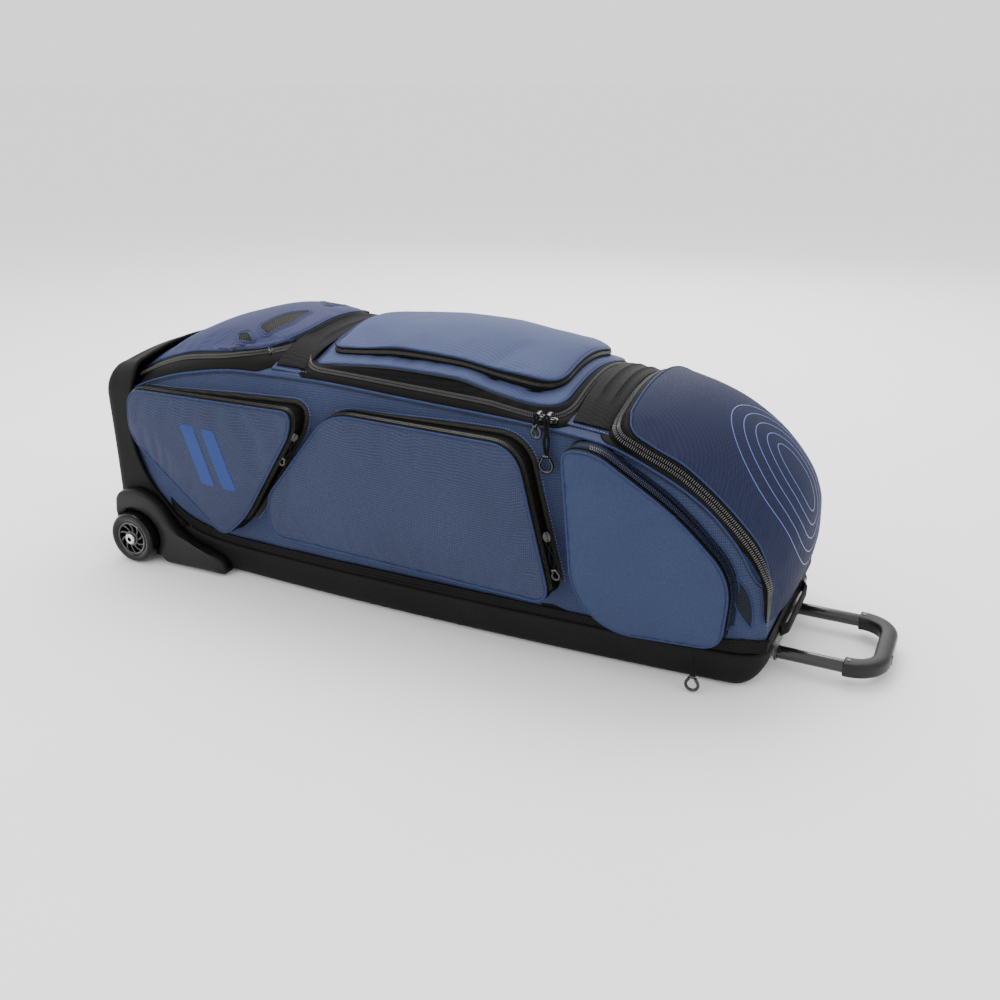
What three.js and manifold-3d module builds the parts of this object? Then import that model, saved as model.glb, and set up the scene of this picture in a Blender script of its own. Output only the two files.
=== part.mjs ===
// Wheeled team equipment bag: moulded tray and end wall, soft upper with three lids,
// six side pockets, two wheels and a telescoping handle.
// Millimetres, +Z up. x runs from the wheels to the handle, y across the bag.
// Everything is laid out from the wheel axle (x = 0) inside one group, and that group is
// shifted so that the part's origin is under the middle of its overall box.
import * as THREE from 'three';
import { mergeVertices } from 'three/addons/utils/BufferGeometryUtils.js';
import Module from 'manifold-3d';

const wasm = await Module();
wasm.setup();

// ---------- driving dimensions ----------
const SHELL_X = -50;          // outer face of the end wall at the wheels
const TRAY_END_X = 906;       // outer face of the tray at the handle
const GRIP_X = 1033;          // outer face of the grip at rest
const CENTRE_X = (SHELL_X + GRIP_X) / 2;
const SHELL_SEAM_X = 52;      // where the end wall meets the tray
const TRAY_H = 60;
const TRAY_HALF = 152;        // half width of the tray at its middle
const TRAY_WALL = 4.5;
const DOORWAY_HALF = 135.5;   // half width of the way through from the end wall to the tray
const BAND_H = 9.4;           // woven band between tray and fabric
const BODY_LOW = 70;          // lower edge of the fabric body
const FABRIC = 6;             // padded fabric wall
const LID_LOW = 1;            // lid underside above the body
const LID_TOP = 15;           // lid upper face above the body
const GAP = 0.3;              // clearance between touching pieces
const POCKET_ROOT = 148.6;    // |y| of a pocket's seam on the body
const POCKET_WALL = 5;
const FLAP_EDGE = 4;          // flap thickness at its seam
const FLAP_CROWN = 8;         // and at its middle
const WHEEL_R = 38;
const WHEEL_IN = 156.5;       // |y| of a wheel's inner face
const WHEEL_OUT = 180.5;      // |y| of a wheel's outer face
const ARCH_OUT = 164;         // |y| of the wheel arch's outer face; the wheel stands proud of it
const AXLE_R = 4;
const BEARING_R = 11;
const TUBE_Y = 61;            // |y| of the handle tubes
const TUBE_Z = 20;
const TUBE_R = 8;             // sliding tube
const GUIDE_R = 10;           // fixed guide tube
const GUIDE_X = 330;          // inner end of the guide tubes

// ---------- materials ----------
const paint = (color, roughness, metalness = 0) =>
  new THREE.MeshStandardMaterial({ color, roughness, metalness });
const EVA = paint(0x17181a, 0.8);
const NAVY = paint(0x2c3a5c, 0.85);
const DARK_NAVY = paint(0x1e2842, 0.85);
const WEBBING = paint(0x121213, 0.9);
const MESH = paint(0x101113, 0.9);
const MOULDED = paint(0x232427, 0.6);
const RUBBER = paint(0x111112, 0.45);
const STEEL = paint(0xb9bcc0, 0.3, 1);
const ENAMEL = paint(0x0c0c0d, 0.2, 0.3);
const BOARD = paint(0x3a3c40, 0.7);

const bag = new THREE.Group();
bag.position.x = -CENTRE_X;

function piece(name, geometry, material) {
  const mesh = new THREE.Mesh(geometry, material);
  mesh.name = name;
  bag.add(mesh);
}

// ---------- solids ----------
function signedVolume(geometry) {
  const p = geometry.attributes.position;
  const at = (i) => new THREE.Vector3().fromBufferAttribute(p, geometry.index.getX(i));
  let volume = 0;
  for (let i = 0; i < geometry.index.count; i += 3) {
    volume += at(i).dot(at(i + 1).cross(at(i + 2)));
  }
  return volume;
}

function solid(geometry) {
  geometry.deleteAttribute('normal');
  geometry.deleteAttribute('uv');
  const merged = mergeVertices(geometry, 1e-4);
  const triVerts = Uint32Array.from(merged.index.array);
  if (signedVolume(merged) < 0) triVerts.reverse();
  const vertProperties = Float32Array.from(merged.attributes.position.array);
  return new wasm.Manifold(new wasm.Mesh({ numProp: 3, vertProperties, triVerts }));
}

function geometryOf(manifold) {
  const mesh = manifold.getMesh();
  const geometry = new THREE.BufferGeometry();
  geometry.setAttribute('position', new THREE.BufferAttribute(mesh.vertProperties, 3));
  geometry.setIndex(new THREE.BufferAttribute(mesh.triVerts, 1));
  return geometry;
}

function cylinder(axis, radius, from, to, centre, sides = 16) {
  const geometry = new THREE.CylinderGeometry(radius, radius, to - from, sides);
  geometry.translate(0, (from + to) / 2, 0);
  if (axis === 'x') geometry.rotateZ(-Math.PI / 2).translate(0, ...centre);
  if (axis === 'y') geometry.translate(centre[0], 0, centre[1]);
  return solid(geometry);
}

function box(x0, x1, y0, y1, z0, z1) {
  const geometry = new THREE.BoxGeometry(x1 - x0, y1 - y0, z1 - z0);
  return solid(geometry.translate((x0 + x1) / 2, (y0 + y1) / 2, (z0 + z1) / 2));
}

// corners are [u, v, radius]; each corner is rounded with a curve
function roundedOutline(corners) {
  const shape = new THREE.Shape();
  corners.forEach(([u, v, radius], i) => {
    const corner = new THREE.Vector2(u, v);
    const before = new THREE.Vector2(...corners[(i + corners.length - 1) % corners.length]);
    const after = new THREE.Vector2(...corners[(i + 1) % corners.length]);
    const start = before.sub(corner).setLength(radius).add(corner);
    const end = after.sub(corner).setLength(radius).add(corner);
    if (i === 0) shape.moveTo(start.x, start.y);
    else shape.lineTo(start.x, start.y);
    shape.quadraticCurveTo(corner.x, corner.y, end.x, end.y);
  });
  shape.closePath();
  return shape;
}

function extrude(shape, depth, curveSegments) {
  return new THREE.ExtrudeGeometry(shape, { depth, curveSegments, bevelEnabled: false });
}

// plan outline (x, y), standing from z0 to z1
function upright(shape, z0, z1, curveSegments = 4) {
  return solid(extrude(shape, z1 - z0, curveSegments).translate(0, 0, z0));
}

// side outline (x, z), running from y0 to y1
function sideways(shape, y0, y1, curveSegments = 4) {
  return solid(extrude(shape, y1 - y0, curveSegments).rotateX(Math.PI / 2).translate(0, y1, 0));
}

function plan(x0, x1, half, radius) {
  return roundedOutline([
    [x0, -half, radius], [x1, -half, radius], [x1, half, radius], [x0, half, radius],
  ]);
}

// ring sections [[x, y, z], ...] of equal length, skinned and capped at both ends
function loft(rings) {
  const count = rings[0].length;
  const points = rings.flat();
  const index = [];
  for (let r = 0; r + 1 < rings.length; r++) {
    for (let i = 0; i < count; i++) {
      const a = r * count + i;
      const b = r * count + ((i + 1) % count);
      index.push(a, b, b + count, a, b + count, a + count);
    }
  }
  const last = (rings.length - 1) * count;
  for (let i = 1; i + 1 < count; i++) {
    index.push(0, i + 1, i);
    index.push(last, last + i, last + i + 1);
  }
  const geometry = new THREE.BufferGeometry();
  geometry.setAttribute('position', new THREE.Float32BufferAttribute(points.flat(), 3));
  geometry.setIndex(index);
  return solid(geometry);
}

// profile [[radius, y], ...] turned about the line x, z = centre
function turned(profile, centre, segments) {
  const points = [...profile, profile[0]].map(([r, y]) => new THREE.Vector2(r, y));
  const geometry = new THREE.LatheGeometry(points, segments);
  return solid(geometry.translate(centre[0], 0, centre[1]));
}

// ---------- the soft body's envelope ----------
// x, half width, underside, shoulder height, crest height
const STATIONS = [
  [-38, 133, 70, 235, 262], [0, 136, 70, 252, 280], [50, 140, 70, 272, 304], [110, 143, 70, 289, 327],
  [200, 146, 70, 303, 346], [300, 147, 70, 305, 334], [460, 147, 70, 298, 330], [610, 146, 70, 290, 322],
  [700, 145, 70, 280, 312], [775, 143, 70, 252, 306], [825, 141, 70, 222, 288], [865, 138, 70, 180, 262],
  [890, 133, 70, 140, 236], [905, 124, 105, 132, 210], [914, 104, 145, 152, 182],
];
const NOSE_X = 775;
const CROWN_STEPS = 10;

function envelope(offset, undersideDrop = 0) {
  const [endX] = STATIONS.at(-1);
  return loft(STATIONS.map(([x, half, low, shoulder, crest], i) => {
    const forward = THREE.MathUtils.smoothstep(x, NOSE_X, endX) - (i === 0 ? 1 : 0);
    const at = x + forward * offset;
    const under = low > BODY_LOW ? low - offset : low - undersideDrop;
    const ring = [];
    for (let k = 0; k <= CROWN_STEPS; k++) {
      const turn = (Math.PI * k) / CROWN_STEPS;
      const rise = (crest - shoulder) * Math.sin(turn) ** 1.6;
      ring.push([at, (half + offset) * Math.cos(turn), shoulder + offset + rise]);
    }
    ring.push([at, -(half + offset), under], [at, half + offset, under]);
    return ring;
  }));
}

function layer(from, to) {
  return envelope(to, to).subtract(envelope(from, from));
}

const MAIN = { x0: 300, x1: 655, half: 123, radius: 26 };
const TOP = { x0: 316, x1: 640, half: 101, radius: 24 };
const VENT = { x0: 24, x1: 246, half: 120, radius: 44 };
const NOSE = { x0: 714, x1: 940, half: 124, radius: 20 };
const planOf = (lid, inset = 0) =>
  plan(lid.x0 + inset, lid.x1 - inset, lid.half - inset, lid.radius - inset / 2);

// ---------- moulded tray, end wall and band ----------
const trayHalf = (x) => TRAY_HALF - 15 * ((x - 430) / 430) ** 2;

function trayRings(inset, floor, top, endX) {
  const steps = [SHELL_SEAM_X, 200, 430, 660, 800, 872, 895, 906];
  const narrowing = [0, 0, 0, 0, 0, 3, 14, 34];
  const lift = [0, 0, 0, 0, 0, 0, 6, 20];
  return steps.map((x, i) => {
    const half = trayHalf(x) - narrowing[i] - inset;
    const at = i === steps.length - 1 ? endX : x - (x > 850 ? inset : 0);
    const low = floor + (floor > 0 && i < 6 ? 0 : lift[i] * (inset > 0 ? 0.5 : 0.35));
    return [
      [at, -half, top], [at, -half, low + 16], [at, -half + 6, low + 5], [at, -half + 18, low],
      [at, half - 18, low], [at, half - 6, low + 5], [at, half, low + 16], [at, half, top],
    ];
  });
}

function baseTray() {
  const outer = loft(trayRings(0, 0, TRAY_H, TRAY_END_X));
  const inner = loft(trayRings(TRAY_WALL, TRAY_WALL, TRAY_H + 5, TRAY_END_X - TRAY_WALL));
  let tray = outer.subtract(inner);
  for (const side of [-1, 1]) {
    tray = tray.subtract(cylinder('x', GUIDE_R + 0.4, 880, 920, [side * TUBE_Y, TUBE_Z]));
  }
  const doorway = box(
    SHELL_SEAM_X - 5, SHELL_SEAM_X + 10, -DOORWAY_HALF, DOORWAY_HALF, TRAY_WALL, TRAY_H + 5,
  );
  return geometryOf(tray.subtract(doorway));
}

const SHELL_CORNER = 34;      // rounding of the end wall's upper corners
const SHELL_FOOT = 8;         // and of its lower ones
const SHELL_STEPS = 6;
// x, half width, height
const SHELL_SECTIONS = [
  [SHELL_X, 134, 276], [SHELL_X + 6, 141, 284], [SHELL_X + 25, 145, 290], [SHELL_SEAM_X, 145, 304],
];

function shellSolid(inset) {
  return loft(SHELL_SECTIONS.map(([x, half, top], i) => {
    const past = i === SHELL_SECTIONS.length - 1 ? 5 : inset;
    const at = inset > 0 && i !== 2 ? x + past : x;
    const corner = (side) => Array.from({ length: SHELL_STEPS + 1 }, (_, k) => {
      const turn = (Math.PI / 2) * (k / SHELL_STEPS);
      const across = half - inset - SHELL_CORNER * (1 - Math.cos(turn));
      return [at, side * across, top - inset - SHELL_CORNER * (1 - Math.sin(turn))];
    });
    const w = half - inset;
    return [
      ...corner(1), ...corner(-1).reverse(),
      [at, -w, inset + SHELL_FOOT], [at, -w + SHELL_FOOT, inset],
      [at, w - SHELL_FOOT, inset], [at, w, inset + SHELL_FOOT],
    ];
  }));
}

function endShell() {
  const wing = roundedOutline([
    [100, 62, 2], [72, 68, 10], [42, 88, 20], [18, 140, 30], [4, 250, 20], [2, 340, 4], [100, 340, 4],
  ]);
  const wall = shellSolid(0).subtract(shellSolid(TRAY_WALL));
  return geometryOf(wall.subtract(sideways(wing, -200, 200)));
}

function rimBand() {
  const z0 = TRAY_H + GAP;
  const outer = loft(trayRings(2, 0, z0 + BAND_H, TRAY_END_X - 12));
  const inner = loft(trayRings(9, 0, z0 + BAND_H + 5, TRAY_END_X - 19));
  const slab = box(SHELL_SEAM_X + 32, 920, -200, 200, z0, z0 + BAND_H - 0.2);
  const doorway = box(SHELL_SEAM_X, SHELL_SEAM_X + 60, -128, 128, z0 - 1, 80);
  return geometryOf(outer.intersect(slab).subtract(inner).subtract(doorway));
}

piece('base_tray', baseTray(), EVA);
piece('end_shell', endShell(), EVA);
piece('rim_band', rimBand(), WEBBING);
piece('floor_board', geometryOf(upright(plan(70, 880, 118, 14), 34, 37, 2)), BOARD);

// ---------- fabric body, dividers ----------
function bodyShell() {
  let body = envelope(0).subtract(envelope(-FABRIC, 30));
  for (const lid of [MAIN, VENT, NOSE]) {
    const opening = lid === NOSE
      ? box(lid.x0 + 14, 885, -(lid.half - 26), lid.half - 26, 150, 400)
      : upright(planOf(lid, 14), 200, 400);
    body = body.subtract(opening);
  }
  return geometryOf(body);
}

function divider(x, half, top) {
  return geometryOf(box(x, x + 4, -half, half, 42, top));
}

piece('body_shell', bodyShell(), NAVY);
piece('rear_divider', divider(270, 128, 285), BOARD);
piece('front_divider', divider(684, 128, 260), BOARD);

// ---------- lids ----------
function lidOf(lid, from, to) {
  return layer(from, to).intersect(upright(planOf(lid), BODY_LOW + 0.5, 420));
}

function mainLid() {
  return geometryOf(lidOf(MAIN, LID_LOW, LID_TOP));
}

function topPocketWall() {
  return geometryOf(lidOf(TOP, LID_TOP + GAP, 28).subtract(upright(planOf(TOP, 4), 200, 420)));
}

function topPocketFlap() {
  return geometryOf(lidOf(TOP, 28 + GAP, 37));
}

// x, |y| and rounding of the mesh window's corners, and the point that it shrinks towards
const VENT_WINDOW = [[190, 84, 5], [204, 46, 5], [229, 20, 5], [230, 66, 5], [212, 98, 5]];
const WINDOW_MIDDLE = [213, 63];
const ventWindow = (side, share) => roundedOutline(VENT_WINDOW.map(([x, y, radius]) => [
  WINDOW_MIDDLE[0] + (x - WINDOW_MIDDLE[0]) * share,
  side * (WINDOW_MIDDLE[1] + (y - WINDOW_MIDDLE[1]) * share),
  radius,
]));

function ventLid() {
  let lid = lidOf(VENT, LID_LOW, LID_TOP);
  for (const side of [-1, 1]) lid = lid.subtract(upright(ventWindow(side, 1), 200, 420));
  return geometryOf(lid);
}

function ventMesh(side) {
  return geometryOf(layer(LID_LOW + 8, LID_TOP - 2).intersect(upright(ventWindow(side, 0.97), 200, 420)));
}

piece('vent_lid', ventLid(), NAVY);
piece('vent_mesh_near', ventMesh(-1), MESH);
piece('vent_mesh_far', ventMesh(1), MESH);
piece('main_lid', mainLid(), NAVY);
piece('top_pocket_wall', topPocketWall(), WEBBING);
piece('top_pocket_flap', topPocketFlap(), NAVY);
piece('nose_lid', geometryOf(lidOf(NOSE, LID_LOW, LID_TOP)), DARK_NAVY);

// ---------- side pockets ----------
// outlines in (x, z), each corner with its rounding; rim gives two points [x, |y|] of the
// straight line that the pocket's rim follows in plan
const POCKETS = {
  rear_pocket: {
    rim: [[20, 155], [300, 180]],
    outline: [[8, 257, 28], [304, 270, 16], [298, 240, 14], [210, 108, 26], [166, 70, 22], [0, 188, 28]],
  },
  middle_pocket: {
    rim: [[260, 165], [655, 180]],
    outline: [[352, 272, 34], [612, 271, 34], [660, 84, 26], [246, 86, 26], [243, 140, 20]],
  },
  front_pocket: {
    rim: [[670, 178], [860, 156]],
    outline: [[669, 277, 16], [706, 277, 18], [800, 214, 40], [864, 148, 34], [858, 60, 24],
      [726, 60, 34], [684, 108, 28]],
  },
};

function rimOf({ rim: [[x0, y0], [x1, y1]] }, proud = 0) {
  return (x) => THREE.MathUtils.mapLinear(x, x0, x1, y0, y1) + proud;
}

// every corner moved inward, so that each straight edge moves in by inset
function shrunk(corners, inset) {
  return corners.map(([u, v, radius], i) => {
    const towards = (other) => new THREE.Vector2(other[0] - u, other[1] - v).normalize();
    const before = towards(corners[(i + corners.length - 1) % corners.length]);
    const after = towards(corners[(i + 1) % corners.length]);
    const middle = before.clone().add(after).normalize();
    const move = inset / Math.abs(before.cross(middle));
    return [u + middle.x * move, v + middle.y * move, Math.max(radius - inset, 4)];
  });
}

function between(side, a, b) {
  return side < 0 ? [-b, -a] : [a, b];
}

// side outline (x, z) between |y| = inner(x) and |y| = outer(x)
function slab(corners, side, inner, outer) {
  const geometry = extrude(roundedOutline(corners), 1, 3).rotateX(Math.PI / 2);
  const at = geometry.attributes.position;
  for (let i = 0; i < at.count; i++) {
    const reach = at.getY(i) < -0.5 ? outer : inner;
    at.setY(i, side * reach(at.getX(i)));
  }
  return solid(geometry);
}

function pocketWall(pocket, side) {
  const { outline } = pocket;
  const outer = slab(outline, side, () => POCKET_ROOT, rimOf(pocket));
  const inner = slab(shrunk(outline, POCKET_WALL), side, () => POCKET_ROOT + 2, rimOf(pocket, 5));
  return geometryOf(outer.subtract(inner));
}

function pocketFlap(pocket, side) {
  const { outline } = pocket;
  const thick = slab(outline, side, rimOf(pocket, GAP), rimOf(pocket, FLAP_EDGE));
  const crown = slab(shrunk(outline, 6), side, rimOf(pocket, FLAP_EDGE - 1), rimOf(pocket, FLAP_CROWN));
  return geometryOf(thick.add(crown));
}

for (const [name, pocket] of Object.entries(POCKETS)) {
  for (const [label, side] of [['near', -1], ['far', 1]]) {
    piece(`${name}_wall_${label}`, pocketWall(pocket, side), WEBBING);
    piece(`${name}_flap_${label}`, pocketFlap(pocket, side), NAVY);
  }
}

// ---------- grab straps ----------
function grabStrap(x, rise) {
  const half = 20;
  const slab = box(x - half, x + half, -112, 112, 200, 420);
  const sewn = layer(0.4, 6).intersect(slab);
  const raised = layer(rise, rise + 6).intersect(box(x - half, x + half, -70, 70, 200, 420));
  const posts = layer(0.4, rise + 6).intersect(slab).subtract(box(x - 50, x + 50, -62, 62, 200, 420))
    .intersect(box(x - half, x + half, -70, 70, 200, 420));
  return geometryOf(sewn.subtract(box(x - 50, x + 50, -66, 66, 200, 420)).add(raised).add(posts));
}

function endHandle() {
  const x = TRAY_END_X + GAP;
  const loop = roundedOutline([[x, -70, 2], [x + 16, -58, 8], [x + 16, 58, 8], [x, 70, 2]]);
  const hollow = roundedOutline([[x - 5, -58, 1], [x + 12, -50, 6], [x + 12, 50, 6], [x - 5, 58, 1]]);
  return geometryOf(upright(loop, 44, 58, 3).subtract(upright(hollow, 40, 62, 3)));
}

piece('rear_grab_strap', grabStrap(275, 20), WEBBING);
piece('front_grab_strap', grabStrap(684, 20), WEBBING);

// ---------- handle: guides, tubes, grip, release ----------
const GRIP_INNER_X = 1009;
const LEG_X = 983;

function pipe(radius, bore, x0, x1, side) {
  const centre = [side * TUBE_Y, TUBE_Z];
  const outer = cylinder('x', radius, x0, x1, centre, 20);
  return geometryOf(outer.subtract(cylinder('x', bore, x0 - 1, x1 + 1, centre, 20)));
}

function guideBracket(x) {
  let block = upright(roundedOutline([[x, -84, 6], [x + 16, -84, 6], [x + 16, 84, 6], [x, 84, 6]]), 5, 32, 2);
  for (const side of [-1, 1]) {
    block = block.subtract(cylinder('x', GUIDE_R + GAP, x - 5, x + 25, [side * TUBE_Y, TUBE_Z]));
  }
  return geometryOf(block);
}

function handleBezel() {
  let plate = solid(extrude(roundedOutline([[-96, 9, 8], [96, 9, 8], [96, 40, 8], [-96, 40, 8]]), 3.4, 3)
    .rotateX(Math.PI / 2).rotateZ(Math.PI / 2).translate(TRAY_END_X + GAP, 0, 0));
  for (const side of [-1, 1]) {
    plate = plate.subtract(cylinder('x', TUBE_R + 0.5, 900, 920, [side * TUBE_Y, TUBE_Z]));
  }
  return geometryOf(plate);
}

function grip() {
  const outer = roundedOutline([[LEG_X, -79, 4], [GRIP_X, -79, 40], [GRIP_X, 79, 40], [LEG_X, 79, 4],
    [LEG_X, 47, 4], [GRIP_INNER_X, 47, 22], [GRIP_INNER_X, -47, 22], [LEG_X, -47, 4]]);
  let body = upright(outer, 7, 33, 6);
  for (const side of [-1, 1]) {
    body = body.subtract(cylinder('x', TUBE_R + GAP, 970, 996, [side * TUBE_Y, TUBE_Z], 20));
  }
  return geometryOf(body.subtract(box(GRIP_X - 9, GRIP_X + 5, -24, 24, 13, 27)));
}

for (const [label, side] of [['near', -1], ['far', 1]]) {
  piece(`guide_tube_${label}`, pipe(GUIDE_R, TUBE_R + 0.5, GUIDE_X, TRAY_END_X - 0.2, side), STEEL);
  piece(`handle_tube_${label}`, pipe(TUBE_R, 6.8, 430, 995, side), ENAMEL);
  piece(`push_rod_${label}`, geometryOf(cylinder('x', 2.5, 436, 990, [side * TUBE_Y, TUBE_Z], 8)), STEEL);
}
piece('guide_bracket', guideBracket(GUIDE_X + 6), MOULDED);
piece('handle_bezel', handleBezel(), MOULDED);
piece('handle_grip', grip(), MOULDED);
piece('release_button', geometryOf(box(GRIP_X - 4.6, GRIP_X, -23.4, 23.4, 13.6, 26.4)), MOULDED);
piece('end_handle', endHandle(), WEBBING);

// ---------- wheels and their housings ----------
function wheelHousing(side) {
  const foot = 5;
  const outline = [[-36, 62, 3], [-32, 96, 8], [-12, 104, 10], [12, 104, 14], [40, 92, 14], [60, 60, 10],
    [86, 42, 8], [144, 25, 6], [152, foot, 3], [34, foot, 3], [-36, foot, 3]];
  const well = new THREE.Shape().absarc(0, WHEEL_R, WHEEL_R + 4, 0, 2 * Math.PI);
  const opening = roundedOutline([[-60, -20, 1], [40, -20, 1], [42, 38, 1], [-60, 58, 1]]);
  const back = sideways(roundedOutline(outline), ...between(side, 145.6, 153), 4);
  const arch = sideways(roundedOutline(outline), ...between(side, 152, ARCH_OUT), 4)
    .subtract(sideways(well, ...between(side, 150, 190), 12))
    .subtract(sideways(opening, ...between(side, 150, 190), 3));
  const hole = cylinder('y', AXLE_R + GAP, -200, 200, [0, WHEEL_R], 12);
  const floor = box(-60, 200, -200, 200, -20, foot);
  return geometryOf(back.add(arch).subtract(hole).subtract(floor));
}

function turnedSide(profile, side, segments) {
  return geometryOf(turned(profile.map(([r, y]) => [r, side * y]), [0, WHEEL_R], segments));
}

const HUB_R = 25.4;
const CORE_R = 15;
const BEARING_WIDE = 6.8;
// [radius, |y|] round the axle
const BOLT = [
  [0, 146], [AXLE_R, 146], [AXLE_R, WHEEL_OUT - 1.4], [8, WHEEL_OUT - 1.4],
  [8, WHEEL_OUT + 1], [6, WHEEL_OUT + 2], [0, WHEEL_OUT + 2],
];
const TYRE = [
  [HUB_R + GAP, 158.5], [33, WHEEL_IN], [36.6, 160], [WHEEL_R, 165],
  [WHEEL_R, 172], [36.6, 177], [33, WHEEL_OUT], [HUB_R + GAP, 178.5],
];
const HUB = [
  [8.5, 166.2], [8.5, 170.8], [BEARING_R + GAP, 170.8], [BEARING_R + GAP, 178],
  [CORE_R, 178], [CORE_R, 171], [22, 171], [22, 178], [HUB_R, 178], [HUB_R, 159], [22, 159], [22, 166],
  [CORE_R, 166], [CORE_R, 159], [BEARING_R + GAP, 159], [BEARING_R + GAP, 166.2],
];
const bearing = (y) => [
  [AXLE_R + GAP, y], [BEARING_R, y], [BEARING_R, y + BEARING_WIDE], [AXLE_R + GAP, y + BEARING_WIDE],
];

for (const [label, side] of [['near', -1], ['far', 1]]) {
  piece(`wheel_housing_${label}`, wheelHousing(side), MOULDED);
  piece(`axle_bolt_${label}`, turnedSide(BOLT, side, 16), STEEL);
  piece(`tyre_${label}`, turnedSide(TYRE, side, 24), RUBBER);
  piece(`hub_${label}`, turnedSide(HUB, side, 16), ENAMEL);
  piece(`bearing_inner_${label}`, turnedSide(bearing(159), side, 16), STEEL);
  piece(`bearing_outer_${label}`, turnedSide(bearing(171.1), side, 16), STEEL);
}

// ---------- zip sliders and pulls ----------
// a cord loop ending in a moulded ring, hanging from (x, z) and leaning by an angle from straight down
function pull(x, z, drop, lean, y0, y1, ring) {
  const at = (u, v, radius) => [
    x + u * Math.cos(lean) - v * Math.sin(lean), z - u * Math.sin(lean) - v * Math.cos(lean), radius];
  const neck = drop - 2 * ring;
  const outline = roundedOutline([at(-2.5, 0, 1.5), at(2.5, 0, 1.5), at(2.5, neck, 0.5),
    at(ring, neck + 0.4 * ring, 3), at(ring, drop, 4), at(-ring, drop, 4), at(-ring, neck + 0.4 * ring, 3),
    at(-2.5, neck, 0.5)]);
  const [eyeX, eyeZ] = at(0, drop - 0.85 * ring, 0);
  const eye = new THREE.Shape().absarc(eyeX, eyeZ, ring * 0.5, 0, 2 * Math.PI);
  return geometryOf(sideways(outline, y0, y1, 2).subtract(sideways(eye, y0 - 5, y1 + 5, 4)));
}

function slider(x, y, z) {
  return geometryOf(box(x - 5, x + 5, y - 4, y + 4, z, z + 6));
}

const LEAN_BACK = 0.588;      // the rear pockets' front edge
const LEAN_FORWARD = -0.2513; // the middle pockets' front edge
piece('main_slider_rear', slider(628, -134, 300), ENAMEL);
piece('main_slider_front', slider(641, -134, 300), ENAMEL);
piece('main_pull_rear', pull(628, 304, 26, 0, -157, -153, 5.5), WEBBING);
piece('main_pull_front', pull(641, 304, 66, 0, -157, -153, 7), WEBBING);
for (const [label, side] of [['near', -1], ['far', 1]]) {
  const [y0, y1] = between(side, 168, 172);
  piece(`rear_pocket_pull_${label}`, pull(300, 232, 46, LEAN_BACK, y0, y1, 5), WEBBING);
  piece(`middle_pocket_pull_${label}`, pull(650.5, 162, 52, LEAN_FORWARD, y0, y1, 7), WEBBING);
}
piece('tray_pull', pull(831, 52, 50, 0, -164, -160, 9), WEBBING);

export default bag;
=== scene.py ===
"""Looks of a wheeled team equipment bag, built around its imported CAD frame.
Shapes are laid out in millimetres from the wheel axle (x = 0), as the part's source is;
metres() moves them into the row frame."""
import math

import bmesh
import bpy
import numpy as np
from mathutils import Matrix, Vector, noise
from mathutils.bvhtree import BVHTree


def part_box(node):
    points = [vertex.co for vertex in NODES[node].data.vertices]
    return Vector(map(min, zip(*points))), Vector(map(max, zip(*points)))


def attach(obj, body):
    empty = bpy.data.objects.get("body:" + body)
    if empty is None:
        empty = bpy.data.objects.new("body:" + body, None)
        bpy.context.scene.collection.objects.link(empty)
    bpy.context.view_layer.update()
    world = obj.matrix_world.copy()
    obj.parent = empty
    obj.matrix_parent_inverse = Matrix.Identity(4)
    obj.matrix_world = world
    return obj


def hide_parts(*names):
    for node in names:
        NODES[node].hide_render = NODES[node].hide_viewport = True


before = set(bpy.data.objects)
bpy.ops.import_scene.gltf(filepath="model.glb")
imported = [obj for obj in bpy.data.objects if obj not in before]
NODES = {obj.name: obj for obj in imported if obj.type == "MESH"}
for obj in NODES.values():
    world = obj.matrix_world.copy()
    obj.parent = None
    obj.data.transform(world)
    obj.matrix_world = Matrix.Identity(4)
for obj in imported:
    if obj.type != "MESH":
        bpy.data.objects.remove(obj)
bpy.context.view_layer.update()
SIDES = (("near", -1), ("far", 1))

tyre_low, tyre_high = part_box("tyre_near")
AXLE_X = (tyre_low.x + tyre_high.x) / 2
AXLE_Z = (tyre_low.z + tyre_high.z) * 500
SCALE = 0.001


def edge(node, which, axis):
    """A CAD node's lower (0) or upper (1) limit along an axis, in axle millimetres."""
    return (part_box(node)[which][axis] - (AXLE_X if axis == 0 else 0)) / SCALE


def metres(points):
    return np.asarray(points, float) * SCALE + [AXLE_X, 0, 0]


# ---------- camera and light ----------
def camera_and_light():
    data = bpy.data.cameras.new("camera")
    data.lens, data.sensor_width = 37.94, 36
    camera = bpy.data.objects.new("camera", data)
    camera.location = (0.5974, -1.1947, 0.6688)
    camera.rotation_euler = [math.radians(a) for a in (67.65, 0.1, 25.93)]
    bpy.context.collection.objects.link(camera)
    bpy.context.scene.camera = camera

    world = bpy.data.worlds.new("studio")
    bpy.context.scene.world = world
    world.use_nodes = True
    world.node_tree.nodes["Background"].inputs["Color"].default_value = (1, 1, 1, 1)
    world.node_tree.nodes["Background"].inputs["Strength"].default_value = 1.45
    lamps = (
        ("key", (-0.5, 0.9, 2.2), 2.2, 1.4, 62),
        ("front", (-1.2, -2.2, 0.9), 1.6, 1.0, 16),
        ("nose", (2.1, -0.9, 1.2), 1.2, 0.8, 5),
        ("rear", (-0.4, 2.2, 1.3), 1.8, 1.2, 16),
    )
    for name, place, width, height, watts in lamps:
        light = bpy.data.lights.new(name, "AREA")
        light.shape, light.size, light.size_y = "RECTANGLE", width, height
        light.energy = watts
        lamp = bpy.data.objects.new(name, light)
        lamp.location = place
        lamp.rotation_euler = (-Vector(place)).to_track_quat("-Z", "Y").to_euler()
        bpy.context.collection.objects.link(lamp)


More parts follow.
